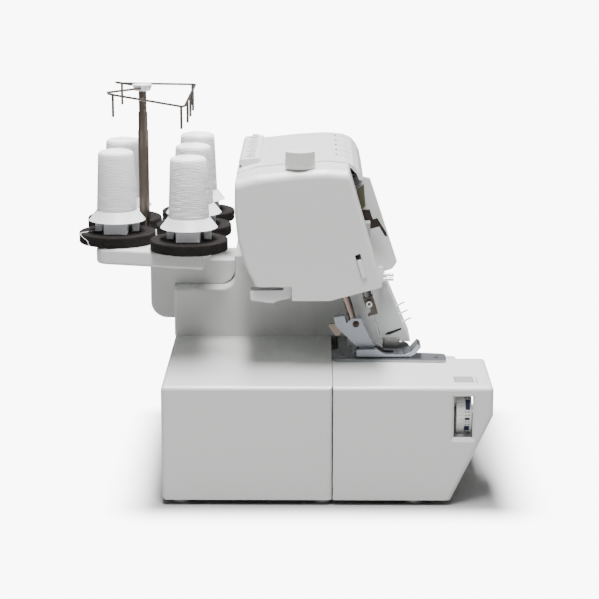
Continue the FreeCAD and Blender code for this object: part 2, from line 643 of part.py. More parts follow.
# Feed dogs: two toothed rows on one carrier below the plate.
tooth_pitch = 2.2
dog_top = plate_top + 0.3
rows = []
for x in DOG_ROWS:
    bar = box(x, dog_front, deck_plate_low - 7, s.dog_row_width, dog_rear - dog_front,
              dog_top - deck_plate_low + 7)
    teeth = [box(x - 1, dog_front + i * tooth_pitch, dog_top - 0.9, s.dog_row_width + 2, 0.9, 2)
             for i in range(1, 19)]
    rows.append(cut(bar, *teeth))
carrier = box(DOG_ROWS[0], dog_front + 6, deck_plate_low - 8, 2 * s.dog_row_offset + s.dog_row_width,
              8, 5)
carrier_rear = box(DOG_ROWS[0], dog_rear - 14, deck_plate_low - 8,
                   2 * s.dog_row_offset + s.dog_row_width, 8, 5)
keep("feed_dogs", fuse(*rows, carrier, carrier_rear))

# Knives: the lower one is fixed at the plate's right edge and the upper one shears past it.
knife_x = s.needle_x + 14.5
knife_front = 79
knife_depth = 12
lower_blade = box(knife_x, knife_front, deck_plate_low - 16, 2.2, knife_depth, 17)
lower_arm = box(knife_x, knife_front, deck_plate_low - 24, 2.2, bed_wall_y - knife_front, 9)
keep("lower_knife", fuse(lower_blade, lower_arm))
upper_x = knife_x + 2.6
upper_blade = box(upper_x, knife_front, plate_top - 0.5, 2, knife_depth, 12)
upper_holder = box(upper_x + 2, knife_front - 2, deck_plate_low - 4, 6, knife_depth + 4, 16)
upper_arm = box(upper_x + 4, knife_front + 1, 62, 4, 8, deck_plate_low - 64)
knife_disc = rod(upper_x + 2, knife_front - 5, deck_plate_low + 3, 6.5, 2.5, "x")
keep("upper_knife", fuse(upper_blade, upper_holder, upper_arm, knife_disc))

# Loopers: two hooked arms on pins below the plate.
lower_x, lower_z = LOOPER_PIVOTS["lower_looper"]
hub_radius = 5
looper_y = 97
hub_bore = pivot_radius + s.running_gap
lower_hub = rod(lower_x, looper_y, lower_z, hub_radius, 6, "y")
lower_arm_block = box(lower_x - 5, looper_y, lower_z + 2, 4, 3, 40)
lower_hook = box(lower_x - 17, looper_y, lower_z + 38, 13, 2.5, 3)
lower_bore = rod(lower_x, looper_y - 1, lower_z, hub_bore, 8, "y")
keep("lower_looper", cut(fuse(lower_hub, lower_arm_block, lower_hook), lower_bore))
upper_pivot_x, upper_z = LOOPER_PIVOTS["upper_looper"]
upper_hub = rod(upper_pivot_x, looper_y + 8, upper_z, hub_radius, 6, "y")
upper_arm_block = box(upper_pivot_x - 3, looper_y + 8, upper_z + 2, 5, 3, 36)
upper_hook = box(upper_pivot_x - 16, looper_y + 8, upper_z + 35, 16, 2.5, 3)
upper_bore = rod(upper_pivot_x, looper_y + 7, upper_z, hub_bore, 8, "y")
keep("upper_looper", cut(fuse(upper_hub, upper_arm_block, upper_hook), upper_bore))

# Needle bar, its clamp and the two needles, all leaning with the head.
bar_low = 6
needle_bar = rod(s.needle_x, needle_bar_y - bar_low * tan_tilt, needle_bar_level - bar_low,
                 s.needle_bar_radius, 92, tilt=s.head_tilt)
keep("needle_bar", needle_bar)
clamp_height = 17
clamp_depth = 9
clamp_z = needle_bar_level - bar_low - clamp_height * cos_tilt
clamp_y = needle_bar_y - bar_low * tan_tilt - clamp_height * sin_tilt
clamp = box(s.needle_x - 5, clamp_y - clamp_depth / 2 * cos_tilt,
            clamp_z + clamp_depth / 2 * sin_tilt, 10, clamp_depth, clamp_height, s.head_tilt)
clamp_cut = rod(s.needle_x - 6, clamp_y + 7, clamp_z + 3, 5, 12, "x")
clamp_screw = rod(s.needle_x - 8, clamp_y + clamp_height * 0.72 * sin_tilt,
                  clamp_z + clamp_height * 0.72 * cos_tilt, 2.4, 4, "x")
keep("needle_clamp", fuse(cut(clamp, clamp_cut), clamp_screw))
needle_length = 23.5
needle_places = (s.needle_x - 1.6, s.needle_x + 1.6)
needles = []
for x in needle_places:
    shank = rod(x, clamp_y - needle_length * sin_tilt, clamp_z - needle_length * cos_tilt, 0.7,
                needle_length, tilt=s.head_tilt)
    needles.append(shank)
keep("needles", group(*needles))

# Presser bar with the foot's ankle, the clip-on foot and the release lever.
bar_drop = 17
ankle_x = s.needle_x - 5
presser_foot_y = presser_bar_y - bar_drop * tan_tilt
presser_bar = rod(s.needle_x, presser_foot_y, presser_bar_level - bar_drop,
                  s.presser_bar_radius, 124, tilt=s.head_tilt)
keep("presser_bar", presser_bar)
foot_pin_y = 105
foot_pin_z = plate_top + 5.5
foot_pin_radius = 1.5
ankle = slab_of("foot_ankle", ankle_x, 10, [
    (foot_pin_y + 34, plate_top + 36.5), (foot_pin_y + 24, plate_top + 38),
    (foot_pin_y + 22, plate_top + 31), (foot_pin_y + 17.5, plate_top + 35.5),
    (foot_pin_y + 8.7, plate_top + 35.5), (foot_pin_y + 4, plate_top + 24.5),
    (foot_pin_y - 1, plate_top + 14), (foot_pin_y - 4, plate_top + 9),
    (foot_pin_y - 3, plate_top + 3.2), (foot_pin_y + 3, plate_top + 3.2),
    (foot_pin_y + 12, plate_top + 9), (foot_pin_y + 23.5, plate_top + 20),
    (foot_pin_y + 31.4, plate_top + 28)])
ankle_bore = rod(s.needle_x, presser_foot_y, presser_bar_level - bar_drop,
                 s.presser_bar_radius, 60, tilt=s.head_tilt)
pin_bore = rod(ankle_x - 1, foot_pin_y, foot_pin_z, foot_pin_radius + s.running_gap, 12, "x")
release_y = foot_pin_y + 25
release_z = plate_top + 25.2
release_radius = 1.2
release_bore = rod(s.needle_x, release_y, release_z, release_radius + s.running_gap, 8, "x")
tongue_left = box(ankle_x - 1, foot_pin_y - 10, plate_top, 3.3, 22, 13)
tongue_right = box(ankle_x + 7.7, foot_pin_y - 10, plate_top, 3.3, 22, 13)
keep("foot_ankle", cut(ankle, ankle_bore, pin_bore, release_bore, tongue_left, tongue_right))
foot_left = s.needle_x - 11
foot_width = 22
sole = slab_of("presser_foot", foot_left, foot_width, [
    (foot_pin_y + 12.6, plate_top + 1), (foot_pin_y + 12.6, plate_top + 7.5),
    (foot_pin_y - 6, plate_top + 8), (foot_pin_y - 13, plate_top + 3.4),
    (foot_pin_y - 30, plate_top + 3.2), (foot_pin_y - 37, plate_top + 6),
    (foot_pin_y - 43, plate_top + 13), (foot_pin_y - 46.5, plate_top + 10.5),
    (foot_pin_y - 41, plate_top + 4), (foot_pin_y - 36, plate_top + 1)])
round_edges(sole, 1, lambda p, d: abs(d.x) > 0.9 and p.y < foot_pin_y - 25)
ankle_room = box(s.needle_x - 3.2, foot_pin_y - 9, plate_top + 2.1, 6.4, 24, 12)
needle_room = box(s.needle_x - 4, foot_pin_y - 21, plate_top - 1, 8, 14, 12)
foot_pin = rod(foot_left + 2, foot_pin_y, foot_pin_z, foot_pin_radius, foot_width - 4, "x")
keep("presser_foot", fuse(cut(sole, ankle_room, needle_room), foot_pin))
release = slab_of("ankle_release_lever", s.needle_x + 5.3, 2.5, [
    (release_y - 1, release_z - 4), (release_y + 5, release_z - 9),
    (release_y + 8, release_z - 7), (release_y + 13.5, release_z + 1),
    (release_y + 12, release_z + 2.5), (release_y + 2, release_z + 3),
    (release_y - 2.5, release_z + 1.5)])
release_pin = rod(s.needle_x + 1, release_y, release_z, release_radius, 9, "x")
keep("ankle_release_lever", fuse(release, release_pin))

# Presser lifter: a ribbed hand lever behind the foot, on a shaft into the head.
lever_reach = 41
lifter_arm = slab_of("presser_lifter", lifter_left, lifter_width, [
    (lifter_axis_y - 5, lifter_axis_z - 3.5), (lifter_axis_y, lifter_axis_z + 5.5),
    (lifter_axis_y + 7, lifter_axis_z + 3), (lifter_axis_y + 12, lifter_axis_z - 14),
    (lifter_axis_y + lever_reach, lifter_axis_z - 14.5),
    (lifter_axis_y + lever_reach, lifter_axis_z - 22),
    (lifter_axis_y + 24, lifter_axis_z - 25.5), (lifter_axis_y + 6, lifter_axis_z - 21)])
lifter_ribs = [rod(lifter_left, lifter_axis_y + 21 + 3.6 * i, lifter_axis_z - 24.2 + 0.45 * i, 1.7,
                   lifter_width, "x") for i in range(6)]
lifter_shaft = rod(lifter_left + lifter_width - 1, lifter_axis_y, lifter_axis_z,
                   lifter_shaft_radius, s.needle_x - 1 - lifter_left - lifter_width + 1, "x")
keep("presser_lifter", fuse(lifter_arm, lifter_shaft, *lifter_ribs))

# Take-up lever and its fixed bracket inside the needle bay.
bracket_x = s.needle_x + 10.5
bay_y = s.column_front
BRACKET_LINE = [
    (20, 57.7), (11, 57.7), (9.5, 52.3), (7.8, 48.7), (4.4, 50.1), (-4.2, 36.4), (-5, 32.8),
    (-2.8, 33.5), (2.3, 42.2), (7.8, 40.7), (15.3, 38.8), (20, 38.8), (45, 42), (45, 52)]
bracket = slab_of("take_up_bracket", bracket_x, 1.6,
                  [(bay_y + u, s.head_bottom + v) for u, v in BRACKET_LINE])
take_up_x = bracket_x + 2
take_up_y = bay_y + 38
take_up_z = s.head_bottom + 48
take_up_radius = 3
take_up_pin = rod(bracket_x - 1, take_up_y, take_up_z, take_up_radius, 8, "x")
take_up_arm = slab_of("take_up_lever", take_up_x, 2.2, [
    (take_up_y + 4, take_up_z), (take_up_y, take_up_z + 5), (bay_y + 21, take_up_z + 28.3),
    (bay_y + 16.6, take_up_z + 32.7), (bay_y + 14.9, take_up_z + 12.7),
    (bay_y + 18.3, take_up_z + 9.2), (bay_y + 25, take_up_z + 8), (take_up_y, take_up_z - 4)])
take_up_bore = rod(bracket_x - 2, take_up_y, take_up_z, take_up_radius + s.running_gap, 6, "x")
keep("take_up_bracket", cut(bracket, take_up_bore))
keep("take_up_lever", fuse(take_up_arm, take_up_pin))


# --- drive ----------------------------------------------------------------------------------------

# Main shaft across the machine, with its pulley and the handwheel on the right.
shaft_left = bed_left + 20
wheel_left = s.base_width + s.handwheel_gap
keep("main_shaft", rod(shaft_left, s.shaft_y, s.shaft_z, s.shaft_radius,
                       s.base_width + s.handwheel_reach - 6 - shaft_left, "x"))
pulley_left = s.base_width - 26
pulley_width = s.belt_width + 2
shaft_pulley = cut(rod(pulley_left, s.shaft_y, s.shaft_z, s.shaft_pulley_radius, pulley_width, "x"),
                   rod(pulley_left - 1, s.shaft_y, s.shaft_z, s.shaft_radius, pulley_width + 2, "x"))
keep("shaft_pulley", shaft_pulley)
wheel_width = s.handwheel_reach - s.handwheel_gap
wheel = rod(wheel_left, s.shaft_y, s.shaft_z, s.handwheel_radius, wheel_width, "x")
wheel_dish = rod(wheel_left + wheel_width - 8, s.shaft_y, s.shaft_z, s.handwheel_radius - 7, 10, "x")
wheel_back = cut(rod(wheel_left - 1, s.shaft_y, s.shaft_z, s.handwheel_radius - 5, 9, "x"),
                 rod(wheel_left - 2, s.shaft_y, s.shaft_z, 13, 12, "x"))
wheel_bore = rod(wheel_left - 1, s.shaft_y, s.shaft_z, s.shaft_radius,
                 overall_width - 5 - wheel_left, "x")
FLUTES = 30
flute_radius = 1.6
flutes = []
for i in range(FLUTES):
    turn = 2 * math.pi * i / FLUTES
    flutes.append(rod(wheel_left + 6, s.shaft_y + s.handwheel_radius * math.cos(turn),
                      s.shaft_z + s.handwheel_radius * math.sin(turn), flute_radius,
                      wheel_width, "x"))
keep("handwheel", cut(wheel, wheel_dish, wheel_back, wheel_bore, *flutes))

# Motor in its cradle, its pulley and the belt up to the shaft's pulley.
motor_boss = 3
motor_shaft_left = motor_left + motor_length - 8
motor_case = fuse(rod(motor_left, s.motor_y, s.motor_z, s.motor_radius, motor_length, "x"),
                  rod(motor_left + motor_length, s.motor_y, s.motor_z, 8, motor_boss, "x"))
keep("motor", cut(motor_case, rod(motor_shaft_left - 1, s.motor_y, s.motor_z,
                                  s.motor_shaft_radius + s.running_gap, 20, "x")))
motor_shaft = rod(motor_shaft_left, s.motor_y, s.motor_z, s.motor_shaft_radius,
                  pulley_left + pulley_width - motor_shaft_left, "x")
keep("motor_pulley", fuse(motor_shaft, rod(pulley_left, s.motor_y, s.motor_z,
                                           s.motor_pulley_radius, pulley_width, "x")))


def belt_ring(extra):
    """The run of a belt round the two pulleys, as a face across them, extra outside the rims."""
    big = s.shaft_pulley_radius.number + extra
    small = s.motor_pulley_radius.number + extra
    dy = s.motor_y.number - s.shaft_y.number
    dz = s.motor_z.number - s.shaft_z.number
    span = math.hypot(dy, dz)
    along = math.atan2(dz, dy)
    open_angle = math.acos((big - small) / span)

    def at(cy, cz, radius, angle):
        return FreeCAD.Vector(0, cy + radius * math.cos(angle), cz + radius * math.sin(angle))

    up, down = along + open_angle, along - open_angle
    corners = [at(0, 0, big, up), at(0, 0, big, along + math.pi), at(0, 0, big, down),
               at(dy, dz, small, down), at(dy, dz, small, along), at(dy, dz, small, up)]
    edges = [Part.Arc(corners[0], corners[1], corners[2]).toShape(),
             Part.makeLine(corners[2], corners[3]),
             Part.Arc(corners[3], corners[4], corners[5]).toShape(),
             Part.makeLine(corners[5], corners[0])]
    return Part.Face(Part.Wire(edges))


belt = DOC.addObject("Part::Feature", "belt")
belt_gap = 0.08
belt_face = belt_ring(belt_gap + s.belt_thickness.number).cut(belt_ring(belt_gap))
belt.Shape = belt_face.extrude(FreeCAD.Vector(s.belt_width.number, 0, 0))
place(belt, pulley_left + 1, s.shaft_y, s.shaft_z)
keep("drive_belt", belt)

# Power inlet socket, rocker switch and differential feed lever in the right end cover.
inlet_left = end_cover_left - 8
inlet = box(inlet_left, inlet_y + 0.2, inlet_z + 0.2, s.base_width - inlet_left - 0.2,
            inlet_width, inlet_height)
inlet_mouth = box(inlet_left + 3, inlet_y + 3, inlet_z + 3, 40, inlet_width - 5.6,
                  inlet_height - 5.6)
INLET_PINS = (-5, 5)
inlet_pins = [rod(inlet_left + 2, inlet_y + inlet_width / 2 + offset, inlet_z + inlet_height / 2,
                  1.2, 9, "x") for offset in INLET_PINS]
keep("power_inlet", fuse(cut(inlet, inlet_mouth), *inlet_pins))
rocker_axis_x = s.base_width - 1
rocker_z = inlet_z - 0.5
rocker = plate_of("power_switch", rocker_z, switch_height, [
    (rocker_axis_x - 6, switch_y + 0.5), (rocker_axis_x - 6, switch_y + 0.5 + switch_width),
    (rocker_axis_x + 1, switch_y + 0.5 + switch_width), (rocker_axis_x + 2.6, switch_y + 7.5),
    (rocker_axis_x + 1, switch_y + 0.5)])
keep("power_switch", rocker)
lever_face = s.base_width + 0.4
lever_disc = rod(lever_face, lever_y, lever_z, 11, 4, "x")
lever_grip = box(lever_face, lever_y - 2.5, lever_z, 7, 5, 22)
lever_shaft = rod(end_cover_left - 6, lever_y, lever_z, lever_shaft_radius,
                  s.end_cover_depth + 8, "x")
keep("differential_lever", fuse(lever_disc, lever_grip, lever_shaft))


# --- knobs and dials --------------------------------------------------------------------------------

# Pressure knob on top of the head end cover, with flutes round its rim.
knob_base = head_top + 3
knob_round = cone(knob_x, knob_y, knob_base, s.knob_radius, s.knob_radius - 0.7, s.knob_height)
KNOB_FLUTES = 24
knob_flutes = []
for i in range(KNOB_FLUTES):
    turn = 2 * math.pi * i / KNOB_FLUTES
    knob_flutes.append(rod(knob_x + (s.knob_radius + 0.3) * math.cos(turn),
                           knob_y + (s.knob_radius + 0.3) * math.sin(turn), knob_base + 2.5,
                           1.1, s.knob_height))
knob_stem = rod(knob_x, knob_y, head_top - 14, stem_radius, knob_base - head_top + 15)
keep("pressure_knob", fuse(cut(knob_round, *knob_flutes), knob_stem))

# Tension dials: five thumb wheels behind the front panel, one for each thread.
DIAL_FLUTES = 24
for i, x in enumerate(dial_left):
    wheel_disc = rod(x, dial_y, dial_z, s.dial_radius, s.dial_width, "x")
    grooves = []
    for k in range(DIAL_FLUTES):
        turn = 2 * math.pi * k / DIAL_FLUTES
        grooves.append(rod(x - 1, dial_y + (s.dial_radius + 0.4) * math.cos(turn),
                           dial_z + (s.dial_radius + 0.4) * math.sin(turn), 1,
                           s.dial_width / 2 + 1, "x"))
    axle = rod(x - 4, dial_y, dial_z, 3, 4, "x")
    keep(f"tension_dial_{i + 1}", fuse(cut(wheel_disc, *grooves), axle))

# Stitch length dial: a drum behind the side cover's window, ribbed on its rear half.
drum_front = s.window_front + 0.6
drum_width = s.window_width - 3.2
drum = rod(dial_axis_x, drum_front, dial_axis_z, s.stitch_dial_radius, drum_width, "y")
drum_bore = rod(dial_axis_x, drum_front - 1, dial_axis_z, spindle_radius + s.running_gap,
                drum_width + 2, "y")
DRUM_RIBS = 32
drum_grooves = []
for i in range(DRUM_RIBS):
    turn = 2 * math.pi * i / DRUM_RIBS
    drum_grooves.append(rod(dial_axis_x + (s.stitch_dial_radius + 0.5) * math.cos(turn),
                            drum_front + drum_width / 2,
                            dial_axis_z + (s.stitch_dial_radius + 0.5) * math.sin(turn), 0.9,
                            drum_width, "y"))
keep("stitch_length_dial", cut(drum, drum_bore, *drum_grooves))

# Tension release button: slides up its slot in the head end cover.
button_proud = 1.6
button = box(s.head_left - button_proud, button_y + 0.3 * cos_tilt, button_z + 0.3 * cos_tilt,
             s.wall + button_proud + 1.2, button_width, button_length, s.head_tilt)
keep("tension_release_button", button)


# --- thread guides ----------------------------------------------------------------------------------

# Rear thread guide block on the slope of the tension cover, with a shallow way for each thread.
guide_left = s.first_thread_x - 14
guide_length = casing_right - guide_left - 3
guide = slab_of("thread_guide_block", guide_left, guide_length, [
    (s.head_rear - 20.5, head_top - 0.95), (s.head_rear - 19, head_top - 1.2),
    (s.head_rear - 4.5, head_top - 5.58), (s.head_rear - 1, head_top - 1),
    (s.head_rear - 3, head_top + 1.2), (s.head_rear - 18, head_top + 2.4),
    (s.head_rear - 20.5, head_top + 1.6)])
guide_ways = [rod(s.first_thread_x + i * s.thread_pitch, s.head_rear - 24, head_top + 3.4, 1.6,
                  30, "y") for i in THREADS]
keep("thread_guide_block", cut(guide, *guide_ways))

# Small metal guides: five rear clips, the needle thread clip and three wires at the front.
guides = []
for i in THREADS:
    x = s.first_thread_x + i * s.thread_pitch
    guides.append(box(x - 4.5, s.head_rear - 15.5, head_top + 2.3, 9, 6, 2))
clip_base = box(s.guard_left - 7, s.column_front - 2, s.head_bottom - 11, 6.9, 5, 14)
clip_bars = [rod(s.guard_left - 4, s.column_front - 11.5, s.head_bottom - offset, 1.7, 10, "y")
             for offset in (4.2, 8.4)]
guides.append(fuse(clip_base, *clip_bars))
keep("thread_guides", group(*guides, *guide_wires))


# --- thread stand -----------------------------------------------------------------------------------

# Bracket behind the column, and the tray with its five pins.
stand_left = s.column_left + 21
bracket_width = casing_right - stand_left - 3
tray_front_y = s.column_neck + 24
bracket_front = s.column_neck + 0.8
bracket_body = slab_of("spool_bracket", stand_left, bracket_width, [
    (bracket_front, s.column_step + 0.4), (s.base_depth + 0.6, s.column_step + 0.4),
    (s.base_depth + 0.6, s.column_step - 34),
    (s.base_depth + 24, s.column_step - 34), (s.base_depth + 24, s.stand_tray_low),
    (tray_front_y, s.stand_tray_low), (tray_front_y, s.column_step + 23),
    (bracket_front, s.column_step + 23)])
round_edges(bracket_body, neck_round + 1, lambda p, d: near(p.y, bracket_front)
            and near(p.z, s.column_step + 0.4))
round_edges(bracket_body, 16, lambda p, d: near(p.y, s.base_depth + 24)
            and near(p.z, s.column_step - 34))
round_edges(bracket_body, 2.5, lambda p, d: near(p.x, 0) and p.y > s.base_depth.number + 8)
keep("spool_bracket", bracket_body)

rear_half = 68
front_half = 92
tray_rear_y = s.base_depth + 64
spool_tray = plate_of("spool_tray", s.stand_tray_low, s.stand_tray_height, [
    (s.mast_x - front_half, tray_front_y), (s.mast_x + front_half, tray_front_y),
    (s.mast_x + rear_half, tray_rear_y), (s.mast_x - rear_half, tray_rear_y)])
round_edges(spool_tray, 12, lambda p, d: abs(d.z) > 0.9 and p.y > s.base_depth.number)
round_edges(spool_tray, 3, lambda p, d: abs(d.z) < 0.1 and p.z > s.stand_tray_height.number - 0.1
            or abs(d.z) < 0.1 and p.z < 0.1 and not near(p.y, tray_front_y))
SPOOLS = [(s.mast_x + (i - 1) * s.spool_pitch, front_row_y) for i in range(3)]
SPOOLS += [(s.mast_x + (i - 0.5) * s.spool_pitch, rear_row_y) for i in range(2)]
pin_height = 84
spool_pins = [rod(x, y, spool_top - 1, s.pin_radius, pin_height + 1) for x, y in SPOOLS]
keep("spool_tray", fuse(spool_tray, *spool_pins))

# Foam discs, cone holders with three legs and a dished flange, and the thread cones on them.
disc_low = spool_top + 0.3
disc_top = disc_low + s.disc_thickness
holder_low = disc_top + 0.3
leg_height = 10.5
flange_height = 9.3
holder_bore = s.pin_radius + 0.3
flange_low = holder_low + leg_height
cone_low = flange_low + flange_height + 0.3
tip_height = 2.4
discs, holders, cones = [], [], []
for x, y in SPOOLS:
    discs.append(cut(rod(x, y, disc_low, s.disc_radius, s.disc_thickness),
                     rod(x, y, disc_low - 1, s.pin_radius + 0.5, s.disc_thickness + 2)))
    holder_tube = rod(x, y, holder_low, s.pin_radius + 3, 40)
    flange = cone(x, y, flange_low, s.cone_radius + 7.4, s.cone_radius + 0.2, flange_height)
    side_legs = [box(x - 3, y + offset, holder_low, 6, 6, leg_height + 1)
                 for offset in (-20, 14)]
    front_leg = box(x - 19, y - 10.5, holder_low, 14, 21, leg_height + 1)
    holders.append(cut(fuse(holder_tube, flange, *side_legs, front_leg),
                       rod(x, y, holder_low - 1, holder_bore, 60)))
    winding = cone(x, y, cone_low, s.cone_radius, s.cone_radius - 1.6, s.cone_height)
    tip = rod(x, y, cone_low + s.cone_height, 12.5, tip_height)
    core = rod(x, y, cone_low - 1, s.pin_radius + 3.4, s.cone_height + tip_height + 2)
    cones.append(cut(fuse(winding, tip), core))
keep("foam_discs", group(*discs))
keep("cone_holders", group(*holders))
keep("thread_cones", group(*cones))

# Mast: three telescoping stages, shown pushed down, with the thread guide tree on top.
collar = cone(s.mast_x, mast_y, spool_top, s.mast_radius + 2.2, s.mast_radius + 0.6, 6)
outer_tube = rod(s.mast_x, mast_y, spool_top, s.mast_radius, s.mast_height)
bore_radius = s.mast_radius - s.mast_tube_wall
outer_bore = rod(s.mast_x, mast_y, spool_top + 2, bore_radius, s.mast_height)
keep("mast_outer_tube", cut(fuse(collar, outer_tube), outer_bore))
middle_radius = bore_radius - s.running_gap
middle_low = spool_top + 4
middle_height = s.mast_height + s.stage_step - 4
keep("mast_middle_tube", cut(
    rod(s.mast_x, mast_y, middle_low, middle_radius, middle_height),
    rod(s.mast_x, mast_y, middle_low + 2, middle_radius - s.mast_tube_wall, middle_height)))
top_radius = middle_radius - s.mast_tube_wall - s.running_gap
top_low = middle_low + 4
cap_low = spool_top + s.mast_height + 2 * s.stage_step + 3
keep("mast_top_rod", rod(s.mast_x, mast_y, top_low, top_radius, cap_low + 2 - top_low))
mast_cap = cut(cone(s.mast_x, mast_y, cap_low, s.cap_radius - 2, s.cap_radius, s.cap_height),
               rod(s.mast_x, mast_y, cap_low - 1, top_radius, 3))
keep("mast_cap", mast_cap)

# Guide tree: one bent wire round the stand, with a pin hanging over each cone.
wire_high = cap_low + s.cap_height / 2
wire_low = wire_high - 7
front_bar_y = front_row_y + 2
lobe_y = rear_row_y + 6
lobe_half = s.guide_pitch
joints = [(s.mast_x - s.cap_radius + 1, mast_y + 1, wire_high),
          (s.mast_x - lobe_half + 2, lobe_y, wire_high),
          (s.mast_x - lobe_half - 1.5, lobe_y - 1, wire_high - 0.8),
          (s.mast_x - lobe_half - 3, lobe_y - 5, wire_high - 1.5),
          (s.mast_x - 2 * s.guide_pitch, front_bar_y + 3, wire_low),
          (s.mast_x - 2 * s.guide_pitch + 3, front_bar_y, wire_low)]
mirrored = [(2 * s.mast_x - x, y, z) for x, y, z in joints[::-1]]
wire_run = joints + mirrored
hangers = [((s.mast_x + (i - 2) * s.guide_pitch), front_bar_y, wire_low) for i in range(5)]
hangers[0] = joints[4]
hangers[4] = mirrored[1]
hangers += [joints[3], mirrored[2]]


def straight(start, end, radius):
    """A round wire between two places, each given as Sizes."""
    a = FreeCAD.Vector(*[size(c).number for c in start])
    b = FreeCAD.Vector(*[size(c).number for c in end])
    return Part.makeCylinder(radius, (b - a).Length, a, b - a)


wire_parts = []
wire_radius = s.wire_radius.number
for start, end in zip(wire_run, wire_run[1:]):
    wire_parts.append(straight(start, end, wire_radius))
for corner in wire_run[1:-1]:
    wire_parts.append(Part.makeSphere(wire_radius, FreeCAD.Vector(*[c.number for c in corner])))
for x, y, z in hangers:
    wire_parts.append(straight((x, y, z), (x, y, z - s.pin_drop), wire_radius * 1.1))
tree = DOC.addObject("Part::Feature", "tree")
tree_wire = wire_parts[0].multiFuse(wire_parts[1:])
cap_room = Part.makeCone(s.cap_radius.number - 2, s.cap_radius.number, s.cap_height.number,
                         FreeCAD.Vector(s.mast_x.number, mast_y.number, cap_low.number))
tree.Shape = tree_wire.cut(cap_room)
place(tree, 0, 0, 0)
keep("guide_tree", tree)


# --- checks and output --------------------------------------------------------------------------------

DOC.recompute()
for obj in DOC.Objects:
    if "Invalid" in obj.State or "Error" in obj.State:
        raise RuntimeError(f"{obj.Name} did not recompute: {obj.State}")
os.makedirs("parts", exist_ok=True)
for name, obj in NODES.items():
    shape = obj.Shape
    if shape.isNull() or not shape.isValid() or not shape.Solids:
        raise RuntimeError(f"{name} has no valid solid")
    shape.exportStep(os.path.join("parts", f"{name}.step"))
print(len(NODES), "nodes written")
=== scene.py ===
import math

import bmesh
import bpy
from mathutils import Matrix, Vector, noise


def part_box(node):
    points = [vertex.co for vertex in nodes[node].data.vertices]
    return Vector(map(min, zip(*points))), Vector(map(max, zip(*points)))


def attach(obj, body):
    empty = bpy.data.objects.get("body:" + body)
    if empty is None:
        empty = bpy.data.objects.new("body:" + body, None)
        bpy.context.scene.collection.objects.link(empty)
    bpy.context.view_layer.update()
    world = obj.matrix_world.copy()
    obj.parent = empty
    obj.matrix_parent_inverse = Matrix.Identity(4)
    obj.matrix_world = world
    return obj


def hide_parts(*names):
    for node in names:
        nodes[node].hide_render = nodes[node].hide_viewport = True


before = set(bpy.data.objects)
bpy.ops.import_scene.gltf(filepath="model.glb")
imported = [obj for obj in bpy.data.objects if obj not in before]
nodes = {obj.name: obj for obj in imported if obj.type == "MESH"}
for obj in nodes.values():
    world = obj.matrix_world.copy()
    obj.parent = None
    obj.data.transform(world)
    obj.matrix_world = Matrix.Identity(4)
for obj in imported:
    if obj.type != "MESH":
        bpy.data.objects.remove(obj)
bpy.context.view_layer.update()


# --- casing ---------------------------------------------------------------------------------------
# The covers are injection-moulded white ABS with a satin face and a very fine mould grain. They
# are screwed to the frame from inside and meet in thin seams, so one plastic serves them all.
gloss_patch, colour_patch = 0.07, 0.02


def raise_grain(tree, height, strength, distance):
    """Give a material's surface a relief that follows a texture's value."""
    bump = tree.nodes.new("ShaderNodeBump")
    bump.inputs["Strength"].default_value = strength
    bump.inputs["Distance"].default_value = distance
    tree.links.new(height, bump.inputs["Height"])
    tree.links.new(bump.outputs["Normal"], tree.nodes["Principled BSDF"].inputs["Normal"])


def surface(name, color, roughness, metallic=0.0, grain=0.0, grain_size=0.001, stretch=(1, 1, 1),
            uneven=0.0, tint=0.0, coat=0.0):
    """A finish: a colour that varies a little, a grain in its height and patches in its gloss."""
    material = bpy.data.materials.new(name)
    material.use_nodes = True
    tree = material.node_tree
    shader = tree.nodes["Principled BSDF"]
    shader.inputs["Base Color"].default_value = (*color, 1)
    shader.inputs["Roughness"].default_value = roughness
    shader.inputs["Metallic"].default_value = metallic
    shader.inputs["Coat Weight"].default_value = coat
    shader.inputs["Coat Roughness"].default_value = 0.12
    place = tree.nodes.new("ShaderNodeTexCoord")
    scale = tree.nodes.new("ShaderNodeMapping")
    scale.inputs["Scale"].default_value = stretch
    tree.links.new(place.outputs["Object"], scale.inputs["Vector"])

    def patches(size, low, high, socket):
        cloud = tree.nodes.new("ShaderNodeTexNoise")
        cloud.inputs["Scale"].default_value = 1 / size
        spread = tree.nodes.new("ShaderNodeMapRange")
        spread.inputs["To Min"].default_value = low
        spread.inputs["To Max"].default_value = high
        tree.links.new(scale.outputs["Vector"], cloud.inputs["Vector"])
        tree.links.new(cloud.outputs["Fac"], spread.inputs["Value"])
        tree.links.new(spread.outputs["Result"], socket)

    if grain:
        cloud = tree.nodes.new("ShaderNodeTexNoise")
        cloud.inputs["Scale"].default_value = 1 / grain_size
        cloud.inputs["Detail"].default_value = 3
        tree.links.new(scale.outputs["Vector"], cloud.inputs["Vector"])
        raise_grain(tree, cloud.outputs["Fac"], grain, grain_size * 0.3)
    if uneven:
        patches(gloss_patch, roughness - uneven, roughness + uneven, shader.inputs["Roughness"])
    if tint:
        blend = tree.nodes.new("ShaderNodeMix")
        blend.data_type = "RGBA"
        blend.inputs["A"].default_value = (*color, 1)
        blend.inputs["B"].default_value = (*(c * (1 - tint) for c in color), 1)
        patches(colour_patch, 0, 1, blend.inputs["Factor"])
        tree.links.new(blend.outputs["Result"], shader.inputs["Base Color"])
    return material


def wear(material, *names):
    """Give CAD pieces a finish in place of the one they came with."""
    for name in names:
        nodes[name].data.materials.clear()
        nodes[name].data.materials.append(material)


casing_plastic = surface("casing_plastic", (0.64, 0.65, 0.635), 0.36, grain=0.05,
                         grain_size=0.0009, uneven=0.05, tint=0.01, coat=0.15)
wear(casing_plastic, "base_cover", "column_cover", "head_end_cover", "tension_cover",
     "front_panel", "take_up_guard", "right_end_cover", "side_cover", "looper_cover",
     "spool_bracket", "spool_tray", "thread_guide_block")


